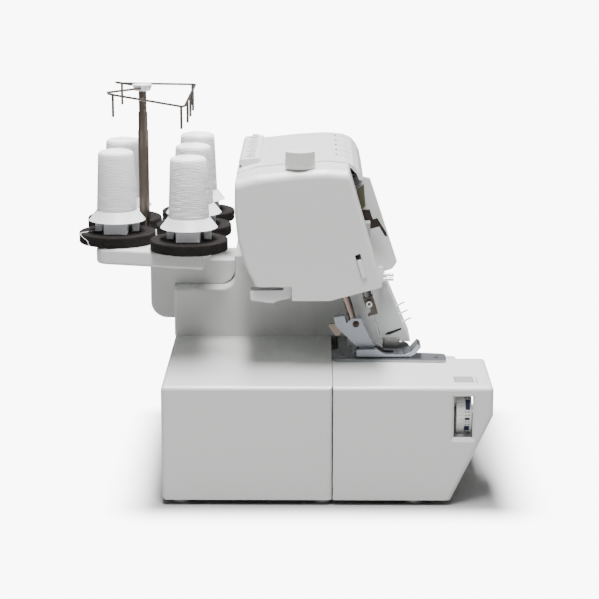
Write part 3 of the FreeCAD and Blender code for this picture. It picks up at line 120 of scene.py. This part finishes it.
# --- needle side panel ----------------------------------------------------------------------------
# A separate moulding in a slightly greyer plastic. A slit for the thread runs through its foot. It
# is not cut here: a thin near-black sheet on the panel face is painted shade standing for the dark
# inside the slit.
wear(surface("panel_plastic", (0.60, 0.61, 0.605), 0.42, grain=0.05, tint=0.02),
     "needle_side_panel")


half_width, front_reach = 150, 186


def row_point(x, y, z):
    """A point of the machine in the row's frame: left face, front edge and table are its zeros."""
    return Vector(((x - half_width) / 1000, (y - front_reach) / 1000, z / 1000))


def machine_point(corner):
    """A point of the row's frame in machine millimetres."""
    return corner.x * 1000 + half_width, corner.y * 1000 + front_reach, corner.z * 1000


def flat_piece(name, outline, thickness, normal, material, body):
    """A flat piece of a plane outline given in machine millimetres, thickened along a normal."""
    mesh = bmesh.new()
    low = [mesh.verts.new(row_point(*p)) for p in outline]
    grown = bmesh.ops.extrude_face_region(mesh, geom=[mesh.faces.new(low)])
    moved = [v for v in grown["geom"] if isinstance(v, bmesh.types.BMVert)]
    bmesh.ops.translate(mesh, vec=Vector(normal) * thickness / 1000, verts=moved)
    bmesh.ops.recalc_face_normals(mesh, faces=mesh.faces)
    finished(name, mesh, material, body)


def linked(name, data):
    """An object in the scene that holds some data."""
    thing = bpy.data.objects.new(name, data)
    bpy.context.scene.collection.objects.link(thing)
    return thing


def finished(name, mesh, material, body, smooth=False):
    """Turn a bmesh into an object of one finish that rides on a body."""
    data = bpy.data.meshes.new(name)
    mesh.to_mesh(data)
    mesh.free()
    data.materials.append(material)
    if smooth:
        data.shade_smooth()
    piece = linked(name, data)
    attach(piece, body)
    return piece


panel_face = machine_point(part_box("needle_side_panel")[0])[0]
# Near-black finish for slits, slots and eyes that are not cut: painted shade standing for their
# dark insides.
painted_hole_shade = surface("painted_hole_shade", (0.008, 0.008, 0.009), 0.7, grain=0.2)
slit_line = [(90.5, 122.6), (85.8, 122.7), (75.0, 127.5), (75.5, 129.0), (88.3, 124.6)]
flat_piece("thread_slit", [(panel_face, y, z) for y, z in slit_line], 0.15, (-1, 0, 0),
           painted_hole_shade, "machine")


# --- tray and feet --------------------------------------------------------------------------------
# The bottom tray is grey ribbed plastic, seen only as a dark line below the covers. Its colour is
# darkened to near black: painted shade standing for the shadow under the covers. The feet are pale
# rubber pads pressed into it.
wear(surface("tray_plastic", (0.07, 0.07, 0.065), 0.6, grain=0.2), "bottom_tray")
wear(surface("foot_rubber", (0.45, 0.46, 0.45), 0.7, grain=0.2, uneven=0.1), "rubber_feet")


# --- frame, motor and drive -----------------------------------------------------------------------
# The frame is sand-cast aluminium, left rough where nothing fits it. The motor is painted steel,
# the pulleys are black plastic and the belt is moulded rubber.
wear(surface("frame_casting", (0.42, 0.43, 0.44), 0.5, metallic=0.9, grain=0.5, uneven=0.1),
     "machine_frame")
wear(surface("motor_steel", (0.03, 0.03, 0.03), 0.4, grain=0.1), "motor")
wear(surface("pulley_plastic", (0.03, 0.03, 0.03), 0.5, grain=0.1), "motor_pulley",
     "shaft_pulley")
wear(surface("belt_rubber", (0.02, 0.02, 0.02), 0.7, grain=0.3), "drive_belt")
wear(surface("inlet_plastic", (0.02, 0.02, 0.02), 0.45, grain=0.1), "power_inlet",
     "power_switch")
wear(surface("handwheel_plastic", (0.64, 0.65, 0.64), 0.35, grain=0.05), "handwheel")
wear(surface("shaft_steel", (0.50, 0.50, 0.51), 0.25, metallic=1.0, grain=0.08), "main_shaft",
     "cover_hinge_rod")


# --- needle plate and cutting parts ---------------------------------------------------------------
# The plate is ground steel with a brushed grain along it, held by two countersunk screws. Feed
# dogs, knives and loopers are hardened steel, a little darker and warmer than the plate.
wear(surface("plate_steel", (0.40, 0.41, 0.44), 0.36, metallic=1.0, grain=0.25,
             stretch=(1, 0.05, 1), tint=0.25), "needle_plate")
wear(surface("screw_steel", (0.16, 0.16, 0.17), 0.35, metallic=1.0, grain=0.1),
     "machine_screws")
wear(surface("tool_steel", (0.34, 0.33, 0.32), 0.3, metallic=1.0, grain=0.1, uneven=0.08),
     "feed_dogs", "lower_knife", "upper_knife", "lower_looper", "upper_looper")


# --- needle drive and presser foot ----------------------------------------------------------------
# Bars are ground and chromed. The clamp is burnished steel with a socket screw, and the ankle is
# cast zinc, plated grey, with a cross screw that grips the presser bar.
wear(surface("needle_chrome", (0.56, 0.56, 0.57), 0.16, metallic=1.0, grain=0.03), "needles")
wear(surface("needle_bar_steel", (0.17, 0.16, 0.155), 0.25, metallic=1.0, grain=0.03),
     "needle_bar")
# The presser bar's brown tint is a painted reflection: it stands in for the brown surroundings that
# the chrome mirrors.
wear(surface("bar_chrome", (0.30, 0.235, 0.20), 0.2, metallic=1.0, grain=0.03), "presser_bar")
wear(surface("clamp_steel", (0.13, 0.115, 0.10), 0.38, metallic=1.0, grain=0.2, tint=0.2),
     "needle_clamp")
wear(surface("ankle_zinc", (0.36, 0.38, 0.42), 0.36, metallic=0.85, grain=0.15, uneven=0.08),
     "foot_ankle")
wear(surface("foot_steel", (0.32, 0.34, 0.38), 0.24, metallic=1.0, grain=0.1, uneven=0.06),
     "presser_foot")
wear(surface("lever_steel", (0.26, 0.21, 0.175), 0.32, metallic=1.0, grain=0.1),
     "ankle_release_lever")


def lathe(mesh, profile, centre, axis="z", steps=48):
    """Turn a closed profile of (radius, height) points about an axis through a machine point.

    A profile point on the axis itself becomes a pole. The faces point outwards.
    """
    ring_of = []
    for step in range(steps):
        turn = 2 * math.pi * step / steps
        ring = []
        for radius, height in profile:
            across, along = radius * math.cos(turn), radius * math.sin(turn)
            offset = (height, across, along) if axis == "x" else (across, along, height)
            ring.append(mesh.verts.new(row_point(*(c + o for c, o in zip(centre, offset)))))
        ring_of.append(ring)
    for step, ring in enumerate(ring_of):
        beside = ring_of[(step + 1) % steps]
        for k in range(len(profile)):
            after = (k + 1) % len(profile)
            if profile[k][0] or profile[after][0]:
                mesh.faces.new((ring[k], beside[k], beside[after], ring[after]))
    if any(radius == 0 for radius, _ in profile):
        bmesh.ops.remove_doubles(mesh, verts=mesh.verts, dist=1e-6)
    bmesh.ops.recalc_face_normals(mesh, faces=mesh.faces)


clamp_low, clamp_high = map(machine_point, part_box("needle_clamp"))
clamp_x = clamp_low[0]
clamp_y = (clamp_low[1] + clamp_high[1]) / 2 + 1.4
clamp_z = (clamp_low[2] + clamp_high[2]) / 2 + 2.6
screw_ring = bmesh.new()
lathe(screw_ring, [(2.9, 0.9), (2.9, -0.1), (2.6, -0.35), (1.5, -0.35), (1.3, -0.1), (1.3, 0.9)],
      (clamp_x, clamp_y, clamp_z), axis="x", steps=32)
finished("clamp_screw_rim", screw_ring,
         surface("screw_chrome", (0.72, 0.72, 0.70), 0.2, metallic=1.0, grain=0.05),
         "needle_drive")

cross_iron = surface("cross_iron", (0.10, 0.075, 0.06), 0.3, metallic=1.0, grain=0.1)
ankle_x = machine_point(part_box("foot_ankle")[0])[0]
cross_y, cross_z = clamp_y + 11.8, clamp_z - 19.3
slot_half_length, slot_half_width, first_slot_turn = 2.0, 0.42, 0.5
cross_head = bmesh.new()
lathe(cross_head, [(0, -0.9), (2.0, -0.8), (3.1, -0.3), (3.2, 0.6), (0, 0.6)],
      (ankle_x, cross_y, cross_z), axis="x", steps=32)
finished("ankle_screw_head", cross_head, cross_iron, "presser", smooth=True)
# The screw's cross slots are not cut: two thin near-black strips on the head are painted shade
# standing for the dark inside the slots.
for number, turn in enumerate((first_slot_turn, first_slot_turn + math.pi / 2)):
    along = Vector((0, math.cos(turn), math.sin(turn)))
    across = Vector((0, -math.sin(turn), math.cos(turn)))
    middle = Vector((ankle_x - 0.95, cross_y, cross_z))
    corners = [middle + along * a * slot_half_length + across * b * slot_half_width
               for a, b in ((-1, -1), (1, -1), (1, 1), (-1, 1))]
    flat_piece(f"ankle_screw_slot_{number + 1}", corners, 0.1 * (number + 1), (-1, 0, 0),
               painted_hole_shade, "presser")


# --- take-up lever and its bracket ----------------------------------------------------------------
# Both are blanked from sheet steel. The bracket is left oil-black and the lever is plated.
wear(surface("bracket_steel", (0.055, 0.045, 0.04), 0.36, metallic=0.9, grain=0.2, tint=0.2),
     "take_up_bracket")
wear(surface("take_up_steel", (0.17, 0.165, 0.11), 0.3, metallic=1.0, grain=0.1),
     "take_up_lever")


# --- levers, knobs and dials ----------------------------------------------------------------------
# Controls are moulded in the same white as the covers, with ribs for the fingers. They clip or
# press onto their shafts, so no screws show.
wear(surface("lever_plastic", (0.68, 0.69, 0.68), 0.45, grain=0.1), "presser_lifter",
     "differential_lever", "tension_release_button")
wear(surface("knob_plastic", (0.60, 0.61, 0.59), 0.4, grain=0.05), "pressure_knob")
wear(surface("dial_plastic", (0.74, 0.75, 0.72), 0.35, grain=0.05), "tension_dial_1",
     "tension_dial_2", "tension_dial_3", "tension_dial_4", "tension_dial_5",
     "stitch_length_dial")


def node_group(name, sizes):
    """A Geometry Nodes tree with a material input and named number inputs, and its two ends."""
    tree = bpy.data.node_groups.new(name, "GeometryNodeTree")
    tree.interface.new_socket("Geometry", in_out="OUTPUT", socket_type="NodeSocketGeometry")
    tree.interface.new_socket("Material", in_out="INPUT", socket_type="NodeSocketMaterial")
    for size in sizes:
        whole = isinstance(sizes[size], int)
        kind = "NodeSocketInt" if whole else "NodeSocketFloat"
        tree.interface.new_socket(size, in_out="INPUT", socket_type=kind)
    return tree, tree.nodes.new("NodeGroupInput"), tree.nodes.new("NodeGroupOutput")


def chain(tree, last, entry, end):
    """End a tree: make its instances real, give them the material and lead them out."""
    real = tree.nodes.new("GeometryNodeRealizeInstances")
    coat = tree.nodes.new("GeometryNodeSetMaterial")
    tree.links.new(last, real.inputs["Geometry"])
    tree.links.new(real.outputs["Geometry"], coat.inputs["Geometry"])
    tree.links.new(entry.outputs["Material"], coat.inputs["Material"])
    tree.links.new(coat.outputs["Geometry"], end.inputs["Geometry"])


def grow(tree, material, sizes):
    """Run a tree on an empty mesh and give back the plain mesh that it makes."""
    holder = linked(tree.name, bpy.data.meshes.new(tree.name))
    modifier = holder.modifiers.new("grow", "NODES")
    modifier.node_group = tree
    for item in tree.interface.items_tree:
        if item.item_type == "SOCKET" and item.in_out == "INPUT":
            modifier[item.identifier] = material if item.name == "Material" else sizes[item.name]
    seen = holder.evaluated_get(bpy.context.evaluated_depsgraph_get())
    made = bpy.data.meshes.new_from_object(seen)
    holder.modifiers.remove(modifier)
    bpy.data.objects.remove(holder)
    return made


# --- stitch dial scale ----------------------------------------------------------------------------
# A drum with finger ribs at its rear and a scale at its front. The scale is pad-printed: two long
# navy fields, a black one for the usual stitch, and plain grey ticks between them. The small
# pointer is moulded on the side cover.
drum_low, drum_high = map(machine_point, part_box("stitch_length_dial"))
drum_radius = (drum_high[2] - drum_low[2]) / 2
drum_x = drum_low[0] + drum_radius
drum_z = (drum_low[2] + drum_high[2]) / 2
scale_front = drum_low[1] + 1.0
print_under, print_over, print_step = 0.1, 0.08, 0.8


def drum_field(mesh, front, depth, low, high):
    """A printed field on the drum's left side between two heights, as a thin bent plate."""
    steps = max(2, round((high - low) / print_step))
    start = math.asin((low - drum_z) / drum_radius)
    stop = math.asin((high - drum_z) / drum_radius)
    rows = []
    for k in range(steps + 1):
        turn = start + (stop - start) * k / steps
        row = []
        for radius in (drum_radius - print_under, drum_radius + print_over):
            for y in (front, front + depth):
                row.append(mesh.verts.new(row_point(drum_x - radius * math.cos(turn), y,
                                                    drum_z + radius * math.sin(turn))))
        rows.append(row)
    for a, b in zip(rows, rows[1:]):
        for i, j in ((0, 1), (1, 3), (3, 2), (2, 0)):
            mesh.faces.new((a[i], a[j], b[j], b[i]))
    for row in (rows[0], rows[-1]):
        mesh.faces.new((row[0], row[1], row[3], row[2]))


def drum_fields(name, ink, fields):
    """Fields of one ink on the drum: each has its front edge, its depth and two heights."""
    mesh = bmesh.new()
    for front, depth, low, high in fields:
        drum_field(mesh, scale_front + front, depth, drum_z + low, drum_z + high)
    bmesh.ops.recalc_face_normals(mesh, faces=mesh.faces)
    finished(name, mesh, ink, "stitch_length_dial")


navy_print = surface("navy_print", (0.02, 0.025, 0.07), 0.5, grain=0.05)
black_print = surface("black_print", (0.012, 0.012, 0.014), 0.5, grain=0.05)
grey_print = surface("grey_print", (0.12, 0.13, 0.15), 0.5, grain=0.05)
drum_fields("dial_fields", navy_print, [(0.5, 4.0, 5.6, 13.8), (1.0, 4.6, -14.2, -9.2)])
drum_fields("dial_square", black_print, [(0.8, 4.4, -3.5, -1.1), (0.8, 3.2, 16.9, 18.2)])
tick_heights, tick_half = (15.0, 3.9, 0.9, -5.2, -7.8, -15.8), 0.45
drum_fields("dial_ticks", grey_print,
            [(front, 1.6, height - tick_half, height + tick_half)
             for height in tick_heights for front in (0.8, 3.4)])

pointer_x, pointer_y, pointer_z = 1.2, scale_front - 1.75, drum_z + 5.4
flat_piece("dial_pointer", [(pointer_x, pointer_y, pointer_z + 1.4),
                            (pointer_x, pointer_y, pointer_z - 1.4),
                            (pointer_x, pointer_y + 1.7, pointer_z)],
           0.8, (1, 0, 0), casing_plastic, "side_cover")


# --- deck mark ------------------------------------------------------------------------------------
# A plain grey field with a darker edge and a line beside it, printed on the top of the side cover
# to show where the cloth enters. It carries no words.
deck = machine_point(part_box("side_cover")[1])[2]
field_ink = surface("field_ink", (0.30, 0.30, 0.31), 0.45, grain=0.05)
mark_ink = surface("mark_ink", (0.16, 0.16, 0.17), 0.45, grain=0.05)


def deck_rectangle(name, left, right, front, rear, lift, material):
    """A printed rectangle on the deck, as thick as its ink stands up."""
    corners = [(left, front, deck), (right, front, deck), (right, rear, deck),
               (left, rear, deck)]
    flat_piece(name, corners, lift, (0, 0, 1), material, "side_cover")


deck_rectangle("deck_field", 16.5, 33.5, 17.0, 32.5, 0.10, field_ink)
for name, left, right, front, rear in (
        ("deck_field_front_edge", 16, 34, 16.4, 17.2), ("deck_field_rear_edge", 16, 34, 32.3, 33.1),
        ("deck_field_left_edge", 16, 17, 17.2, 32.3), ("deck_field_right_edge", 33, 34, 17.2, 32.3),
        ("deck_line", 13, 33, 13.2, 13.9)):
    deck_rectangle(name, left, right, front, rear, 0.14, mark_ink)


# --- thread ways ----------------------------------------------------------------------------------
# Each thread passes under a bright spring clip on the rear guide block and dives into its slot. The
# eyes beside each clip and the slots' rear ends are not cut: near-black discs on the surface,
# repeated at the thread pitch, are painted shade standing for the dark of these holes.
wear(surface("guide_chrome", (0.86, 0.87, 0.88), 0.3, metallic=0.55, grain=0.03),
     "thread_guides")
eye_sizes = {"Count": 5, "Pitch": 0.0295, "Radius": 0.0009, "Depth": 0.0004}
eye_tree, eye_in, eye_out = node_group("row_of_eyes", eye_sizes)
eye_line = eye_tree.nodes.new("GeometryNodeMeshLine")
eye_step = eye_tree.nodes.new("ShaderNodeCombineXYZ")
eye_disc = eye_tree.nodes.new("GeometryNodeMeshCylinder")
eye_disc.inputs["Vertices"].default_value = 20
eye_copies = eye_tree.nodes.new("GeometryNodeInstanceOnPoints")
eye_tree.links.new(eye_in.outputs["Count"], eye_line.inputs["Count"])
eye_tree.links.new(eye_in.outputs["Pitch"], eye_step.inputs["X"])
eye_tree.links.new(eye_step.outputs["Vector"], eye_line.inputs["Offset"])
eye_tree.links.new(eye_in.outputs["Radius"], eye_disc.inputs["Radius"])
eye_tree.links.new(eye_in.outputs["Depth"], eye_disc.inputs["Depth"])
eye_tree.links.new(eye_line.outputs["Mesh"], eye_copies.inputs["Points"])
eye_tree.links.new(eye_disc.outputs["Mesh"], eye_copies.inputs["Instance"])
chain(eye_tree, eye_copies.outputs["Instances"], eye_in, eye_out)
first_thread = 130
block_high = machine_point(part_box("thread_guide_block")[1])[2]


def row_of_eyes(name, y, z, radius):
    """Five near-black discs in a row along the head at one place and height: painted shade standing
    for the dark of the eyes.
    """
    mesh = grow(eye_tree, painted_hole_shade, dict(eye_sizes, Radius=radius / 1000))
    mesh.transform(Matrix.Translation(row_point(first_thread, y, z)))
    piece = linked(name, mesh)
    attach(piece, "machine")


row_of_eyes("guide_eyes_rear", 218.2, block_high - 0.82, 1.1)
row_of_eyes("guide_eyes_front", 209.1, block_high - 0.55, 1.1)
row_of_eyes("slot_eyes", 136.4, block_high + 1.6, 0.9)


# --- foam discs -----------------------------------------------------------------------------------
# Five discs punched from dark open-cell foam, which stop the cones from sliding. Their faces are
# pitted, and their punched edges are slightly soft.
front_row, rear_row = 269, 337
spool_places = [(88, front_row), (160, front_row), (232, front_row), (124, rear_row),
                (196, rear_row)]
disc_low, disc_high = map(machine_point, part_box("foam_discs"))
disc_bottom, disc_top = disc_low[2], disc_high[2]
disc_radius = disc_high[1] - rear_row


def foam_material():
    """Matt black foam, pitted by its cells."""
    material = surface("disc_foam", (0.015, 0.0125, 0.012), 0.95, tint=0.35)
    tree = material.node_tree
    place = tree.nodes["Texture Coordinate"]
    cells = tree.nodes.new("ShaderNodeTexVoronoi")
    cells.inputs["Scale"].default_value = 1100
    tree.links.new(place.outputs["Object"], cells.inputs["Vector"])
    raise_grain(tree, cells.outputs["Distance"], 0.9, 0.0006)
    tree.nodes["Principled BSDF"].inputs["Specular IOR Level"].default_value = 0.2
    return material


def foam_profile():
    """The section of a disc from its hole outwards, with soft corners, as evenly spaced points."""
    hole, soft, spacing = 4.5, 0.9, 1.3
    edge_steps, under_steps = 5, 6
    reach = disc_radius - soft
    count = round((reach - hole) / spacing)
    points = [(hole + (reach - hole) * k / count, disc_top) for k in range(count + 1)]
    points += [(reach + soft * math.sin(t), disc_top - soft * (1 - math.cos(t)))
               for t in (math.pi / 4, math.pi / 2)]
    tall = disc_top - disc_bottom - 2 * soft
    points += [(disc_radius, disc_top - soft - tall * k / edge_steps)
               for k in range(1, edge_steps + 1)]
    points += [(reach + soft * math.cos(t), disc_bottom + soft * (1 - math.sin(t)))
               for t in (math.pi / 4, math.pi / 2)]
    points += [(hole + (reach - hole) * (1 - k / under_steps), disc_bottom)
               for k in range(1, under_steps + 1)]
    return points


foam = foam_material()
spool_names = ("near_front", "middle_front", "far_front", "near_rear", "far_rear")
pit_depth, pit_floor = 0.00055, 0.15
foam_outline = foam_profile()
for name, (x, y) in zip(spool_names, spool_places):
    pad = bmesh.new()
    lathe(pad, foam_outline, (x, y, 0), steps=168)
    pad.normal_update()
    for vertex in pad.verts:
        pit = noise.noise(vertex.co * 420) + 0.6 * noise.noise(vertex.co * 900)
        vertex.co += vertex.normal * min(0.0, pit - pit_floor) * pit_depth
    disc = finished(f"foam_disc_{name}", pad, foam, "machine", smooth=True)
    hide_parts("foam_discs")


# --- thread cones ---------------------------------------------------------------------------------
# Each cone is white sewing thread, cross-wound on a paper core and set on its holder. The winding
# is a body with real strands laid over it, in spirals that climb and fall.
holder_plastic = surface("holder_plastic", (0.86, 0.87, 0.89), 0.38, grain=0.05)
wear(holder_plastic, "cone_holders", "mast_cap")
winding_low = machine_point(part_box("thread_cones")[0])[2]
winding_high = winding_low + 53
low_radius, high_radius = 18.2, 16.2


def thread_material():
    """White spun thread, banded by its turns."""
    material = surface("white_thread", (0.93, 0.93, 0.94), 0.8, tint=0.03)
    tree = material.node_tree
    place = tree.nodes["Texture Coordinate"]
    strands = tree.nodes.new("ShaderNodeTexWave")
    strands.bands_direction = "Z"
    strands.inputs["Scale"].default_value = 240
    strands.inputs["Distortion"].default_value = 1.6
    strands.inputs["Detail"].default_value = 2
    tree.links.new(place.outputs["Object"], strands.inputs["Vector"])
    raise_grain(tree, strands.outputs["Fac"], 0.8, 0.0004)
    tree.nodes["Principled BSDF"].inputs["Sheen Weight"].default_value = 0.2
    return material


strand_sizes = {"Turns": 9.0, "Height": 0.0485, "Low Radius": low_radius / 1000,
                "High Radius": high_radius / 1000, "Strand Radius": 0.00026, "Starts": 3,
                "Wander": 0.0016, "Seed": 1.0}
wind_tree, wind_in, wind_out = node_group("cross_winding", strand_sizes)


def wound_layer(climbing):
    """One spiral of the winding, from the foot up or from the top down."""
    spiral = wind_tree.nodes.new("GeometryNodeCurveSpiral")
    spiral.inputs["Resolution"].default_value = 30
    spiral.inputs["Reverse"].default_value = not climbing
    for size, socket in (("Turns", "Rotations"), ("Low Radius", "Start Radius"),
                         ("High Radius", "End Radius"), ("Height", "Height")):
        wind_tree.links.new(wind_in.outputs[size], spiral.inputs[socket])
    return spiral.outputs["Curve"]


both_ways = wind_tree.nodes.new("GeometryNodeJoinGeometry")
for climbing in (True, False):
    wind_tree.links.new(wound_layer(climbing), both_ways.inputs["Geometry"])
start_line = wind_tree.nodes.new("GeometryNodeMeshLine")
start_line.inputs["Offset"].default_value = (0, 0, 0)
start_index = wind_tree.nodes.new("GeometryNodeInputIndex")
start_turn = wind_tree.nodes.new("ShaderNodeMath")
start_turn.operation = "MULTIPLY"
start_turn.inputs[1].default_value = 2.4
start_angle = wind_tree.nodes.new("ShaderNodeCombineXYZ")
start_copies = wind_tree.nodes.new("GeometryNodeInstanceOnPoints")
start_real = wind_tree.nodes.new("GeometryNodeRealizeInstances")
wander_at = wind_tree.nodes.new("GeometryNodeInputPosition")
wander_noise = wind_tree.nodes.new("ShaderNodeTexNoise")
wander_noise.noise_dimensions = "4D"
wander_noise.inputs["Scale"].default_value = 45
wander_centre = wind_tree.nodes.new("ShaderNodeMath")
wander_centre.operation = "SUBTRACT"
wander_centre.inputs[1].default_value = 0.5
wander_size = wind_tree.nodes.new("ShaderNodeMath")
wander_size.operation = "MULTIPLY"
wander_lift = wind_tree.nodes.new("ShaderNodeCombineXYZ")
wander = wind_tree.nodes.new("GeometryNodeSetPosition")
strand_ring = wind_tree.nodes.new("GeometryNodeCurvePrimitiveCircle")
strand_ring.inputs["Resolution"].default_value = 5
strand_tube = wind_tree.nodes.new("GeometryNodeCurveToMesh")
strand_tube.inputs["Fill Caps"].default_value = True
for start, stop in (
        (wind_in.outputs["Starts"], start_line.inputs["Count"]),
        (start_index.outputs["Index"], start_turn.inputs[0]),
        (start_turn.outputs["Value"], start_angle.inputs["Z"]),
        (start_line.outputs["Mesh"], start_copies.inputs["Points"]),
        (both_ways.outputs["Geometry"], start_copies.inputs["Instance"]),
        (start_angle.outputs["Vector"], start_copies.inputs["Rotation"]),
        (start_copies.outputs["Instances"], start_real.inputs["Geometry"]),
        (wander_at.outputs["Position"], wander_noise.inputs["Vector"]),
        (wind_in.outputs["Seed"], wander_noise.inputs["W"]),
        (wander_noise.outputs["Fac"], wander_centre.inputs[0]),
        (wander_centre.outputs["Value"], wander_size.inputs[0]),
        (wind_in.outputs["Wander"], wander_size.inputs[1]),
        (wander_size.outputs["Value"], wander_lift.inputs["Z"]),
        (start_real.outputs["Geometry"], wander.inputs["Geometry"]),
        (wander_lift.outputs["Vector"], wander.inputs["Offset"]),
        (wind_in.outputs["Strand Radius"], strand_ring.inputs["Radius"]),
        (wander.outputs["Geometry"], strand_tube.inputs["Curve"]),
        (strand_ring.outputs["Curve"], strand_tube.inputs["Profile Curve"])):
    wind_tree.links.new(start, stop)
chain(wind_tree, strand_tube.outputs["Mesh"], wind_in, wind_out)

white_thread = thread_material()
crown = 2.2
cone_profile = [(7.4, winding_low), (low_radius - 0.6, winding_low),
                (low_radius, winding_low + 0.6), (high_radius + 0.1, winding_high - 2.6),
                (high_radius - 0.4, winding_high - 0.8), (high_radius - 1.5, winding_high + 0.3),
                (high_radius - 4, winding_high + 1.1), (7, winding_high + crown - 0.3),
                (0, winding_high + crown), (0, winding_high + crown - 0.5),
                (7.4, winding_high + crown - 0.8)]
for number, (x, y) in enumerate(spool_places):
    body = bmesh.new()
    lathe(body, cone_profile, (x, y, 0), steps=72)
    strands = grow(wind_tree, white_thread, dict(
        strand_sizes, Turns=strand_sizes["Turns"] + 0.7 * number,
        Seed=strand_sizes["Seed"] + number))
    strands.transform(Matrix.Translation(row_point(x, y, winding_low + 1)))
    body.from_mesh(strands)
    cone = finished(f"thread_cone_{spool_names[number]}", body, white_thread, "machine",
                    smooth=True)
    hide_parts("thread_cones")


# --- loose thread end -----------------------------------------------------------------------------
# A cut end of the white thread of the near rear cone. It comes out from under the holder's leg,
# lies on the foam and clings to the punched edge of the disc.
end_x, end_y = spool_places[spool_names.index("near_rear")]
end_route = [(0, 20.2, 0.25), (-4, 25, 0.28), (-9, 30, 0.28), (-12.6, 33.0, 0.2),
             (-16.4, 31.6, -1.4), (-21.4, 28.5, -2.8), (-25.0, 25.4, -4.0), (-26.6, 24.0, -6.4),
             (-27.4, 23.0, -9.0)]
end_line = bpy.data.curves.new("loose_thread_end", "CURVE")
end_line.dimensions = "3D"
end_line.bevel_depth = 0.00025
end_line.bevel_resolution = 2
end_spline = end_line.splines.new("NURBS")
end_spline.points.add(len(end_route) - 1)
for point, (x, y, z) in zip(end_spline.points, end_route):
    point.co = (*row_point(end_x + x, end_y + y, disc_top + z), 1)
end_spline.order_u = 3
end_spline.use_endpoint_u = True
end_line.materials.append(white_thread)
thread_end = linked("loose_thread_end", end_line)
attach(thread_end, "machine")


# --- mast and guide tree --------------------------------------------------------------------------
# The mast is three drawn steel tubes that slide in each other, plated a smoky bronze grey. The
# guide tree on top is bent spring wire of the same finish, held by a white cap.
wear(surface("mast_metal", (0.17, 0.14, 0.12), 0.36, metallic=1.0, grain=0.3,
             stretch=(1, 1, 0.02), tint=0.15), "mast_outer_tube", "mast_middle_tube",
     "mast_top_rod")
wear(surface("wire_steel", (0.24, 0.21, 0.18), 0.3, metallic=1.0, grain=0.1), "guide_tree")


# --- studio ---------------------------------------------------------------------------------------
# A plain white floor and sky with soft lights. The sky is brighter to the eye than to the machine.
# The floor glows the same white to the eye only from a little way out of the machine's footprint.
# Nearer in, it is plain grey, so a painted shadow patch of the footprint's shape stays below the
# machine, and the lamps' real shadow falls inside it.
seen_white, sky_on_machine, floor_grey = 9, 0.28, 0.34
bpy.ops.mesh.primitive_plane_add(size=8, location=(0, 0, 0))
floor = bpy.context.object
floor.name = "floor"
paper = bpy.data.materials.new("floor_paper")
paper.use_nodes = True
floor.data.materials.append(paper)
tree = paper.node_tree
shader = tree.nodes["Principled BSDF"]
shader.inputs["Base Color"].default_value = (floor_grey, floor_grey, floor_grey, 1)
shader.inputs["Roughness"].default_value = 0.9
shader.inputs["Specular IOR Level"].default_value = 0.1
foot_centre, foot_half, painted_shadow_width = (-0.015, -0.041, 0), (0.135, 0.145, 10), 0.06
place = tree.nodes.new("ShaderNodeTexCoord")
last = place.outputs["Object"]
for operation, other in (("SUBTRACT", foot_centre), ("ABSOLUTE", None), ("SUBTRACT", foot_half),
                         ("MAXIMUM", (0, 0, 0)), ("LENGTH", None)):
    step = tree.nodes.new("ShaderNodeVectorMath")
    step.operation = operation
    tree.links.new(last, step.inputs[0])
    if other is not None:
        step.inputs[1].default_value = other
    last = step.outputs["Value"] if operation == "LENGTH" else step.outputs["Vector"]
# The glow is masked off near the footprint: the grey floor left there is a painted shadow patch,
# with the lamps' real shadow inside it.
painted_shadow_fade = tree.nodes.new("ShaderNodeMapRange")
painted_shadow_fade.interpolation_type = "SMOOTHSTEP"
painted_shadow_fade.inputs["From Max"].default_value = painted_shadow_width
tree.links.new(last, painted_shadow_fade.inputs["Value"])
rays = tree.nodes.new("ShaderNodeLightPath")
both = tree.nodes.new("ShaderNodeMath")
both.operation = "MULTIPLY"
tree.links.new(painted_shadow_fade.outputs["Result"], both.inputs[0])
tree.links.new(rays.outputs["Is Camera Ray"], both.inputs[1])
glow = tree.nodes.new("ShaderNodeEmission")
glow.inputs["Strength"].default_value = seen_white
mixed = tree.nodes.new("ShaderNodeMixShader")
tree.links.new(both.outputs["Value"], mixed.inputs["Fac"])
tree.links.new(shader.outputs["BSDF"], mixed.inputs[1])
tree.links.new(glow.outputs["Emission"], mixed.inputs[2])
tree.links.new(mixed.outputs["Shader"], tree.nodes["Material Output"].inputs["Surface"])

world = bpy.data.worlds.new("studio")
bpy.context.scene.world = world
world.use_nodes = True
sky = world.node_tree
rays = sky.nodes.new("ShaderNodeLightPath")
strength = sky.nodes.new("ShaderNodeMapRange")
strength.inputs["To Min"].default_value = sky_on_machine
strength.inputs["To Max"].default_value = seen_white
sky.nodes["Background"].inputs["Color"].default_value = (1, 1, 1, 1)
sky.links.new(rays.outputs["Is Camera Ray"], strength.inputs["Value"])
sky.links.new(strength.outputs["Result"], sky.nodes["Background"].inputs["Strength"])


def soft_light(name, place, wide, deep, power):
    """A rectangular lamp that faces the middle of the machine."""
    light = bpy.data.lights.new(name, "AREA")
    light.shape = "RECTANGLE"
    light.size, light.size_y = wide, deep
    light.energy = power
    lamp = linked(name, light)
    lamp.location = place
    lamp.rotation_euler = (-Vector(place)).to_track_quat("-Z", "Y").to_euler()


soft_light("overhead", (-0.02, -0.001, 1.7), 0.34, 1.8, 118)
soft_light("left_fill", (-1.3, -0.1, 1.95), 1.1, 1.1, 9)

camera_data = bpy.data.cameras.new("camera")
camera_data.lens = 117.2
camera_data.sensor_width = 36
camera = linked("camera", camera_data)
camera.location = (-1.78126, -0.03005, 0.57121)
pitch, yaw = 0.2316, 0.008
facing = Vector((math.cos(pitch) * math.cos(yaw), math.cos(pitch) * math.sin(yaw),
                 -math.sin(pitch)))
camera.rotation_euler = facing.to_track_quat("-Z", "Y").to_euler()
bpy.context.scene.camera = camera
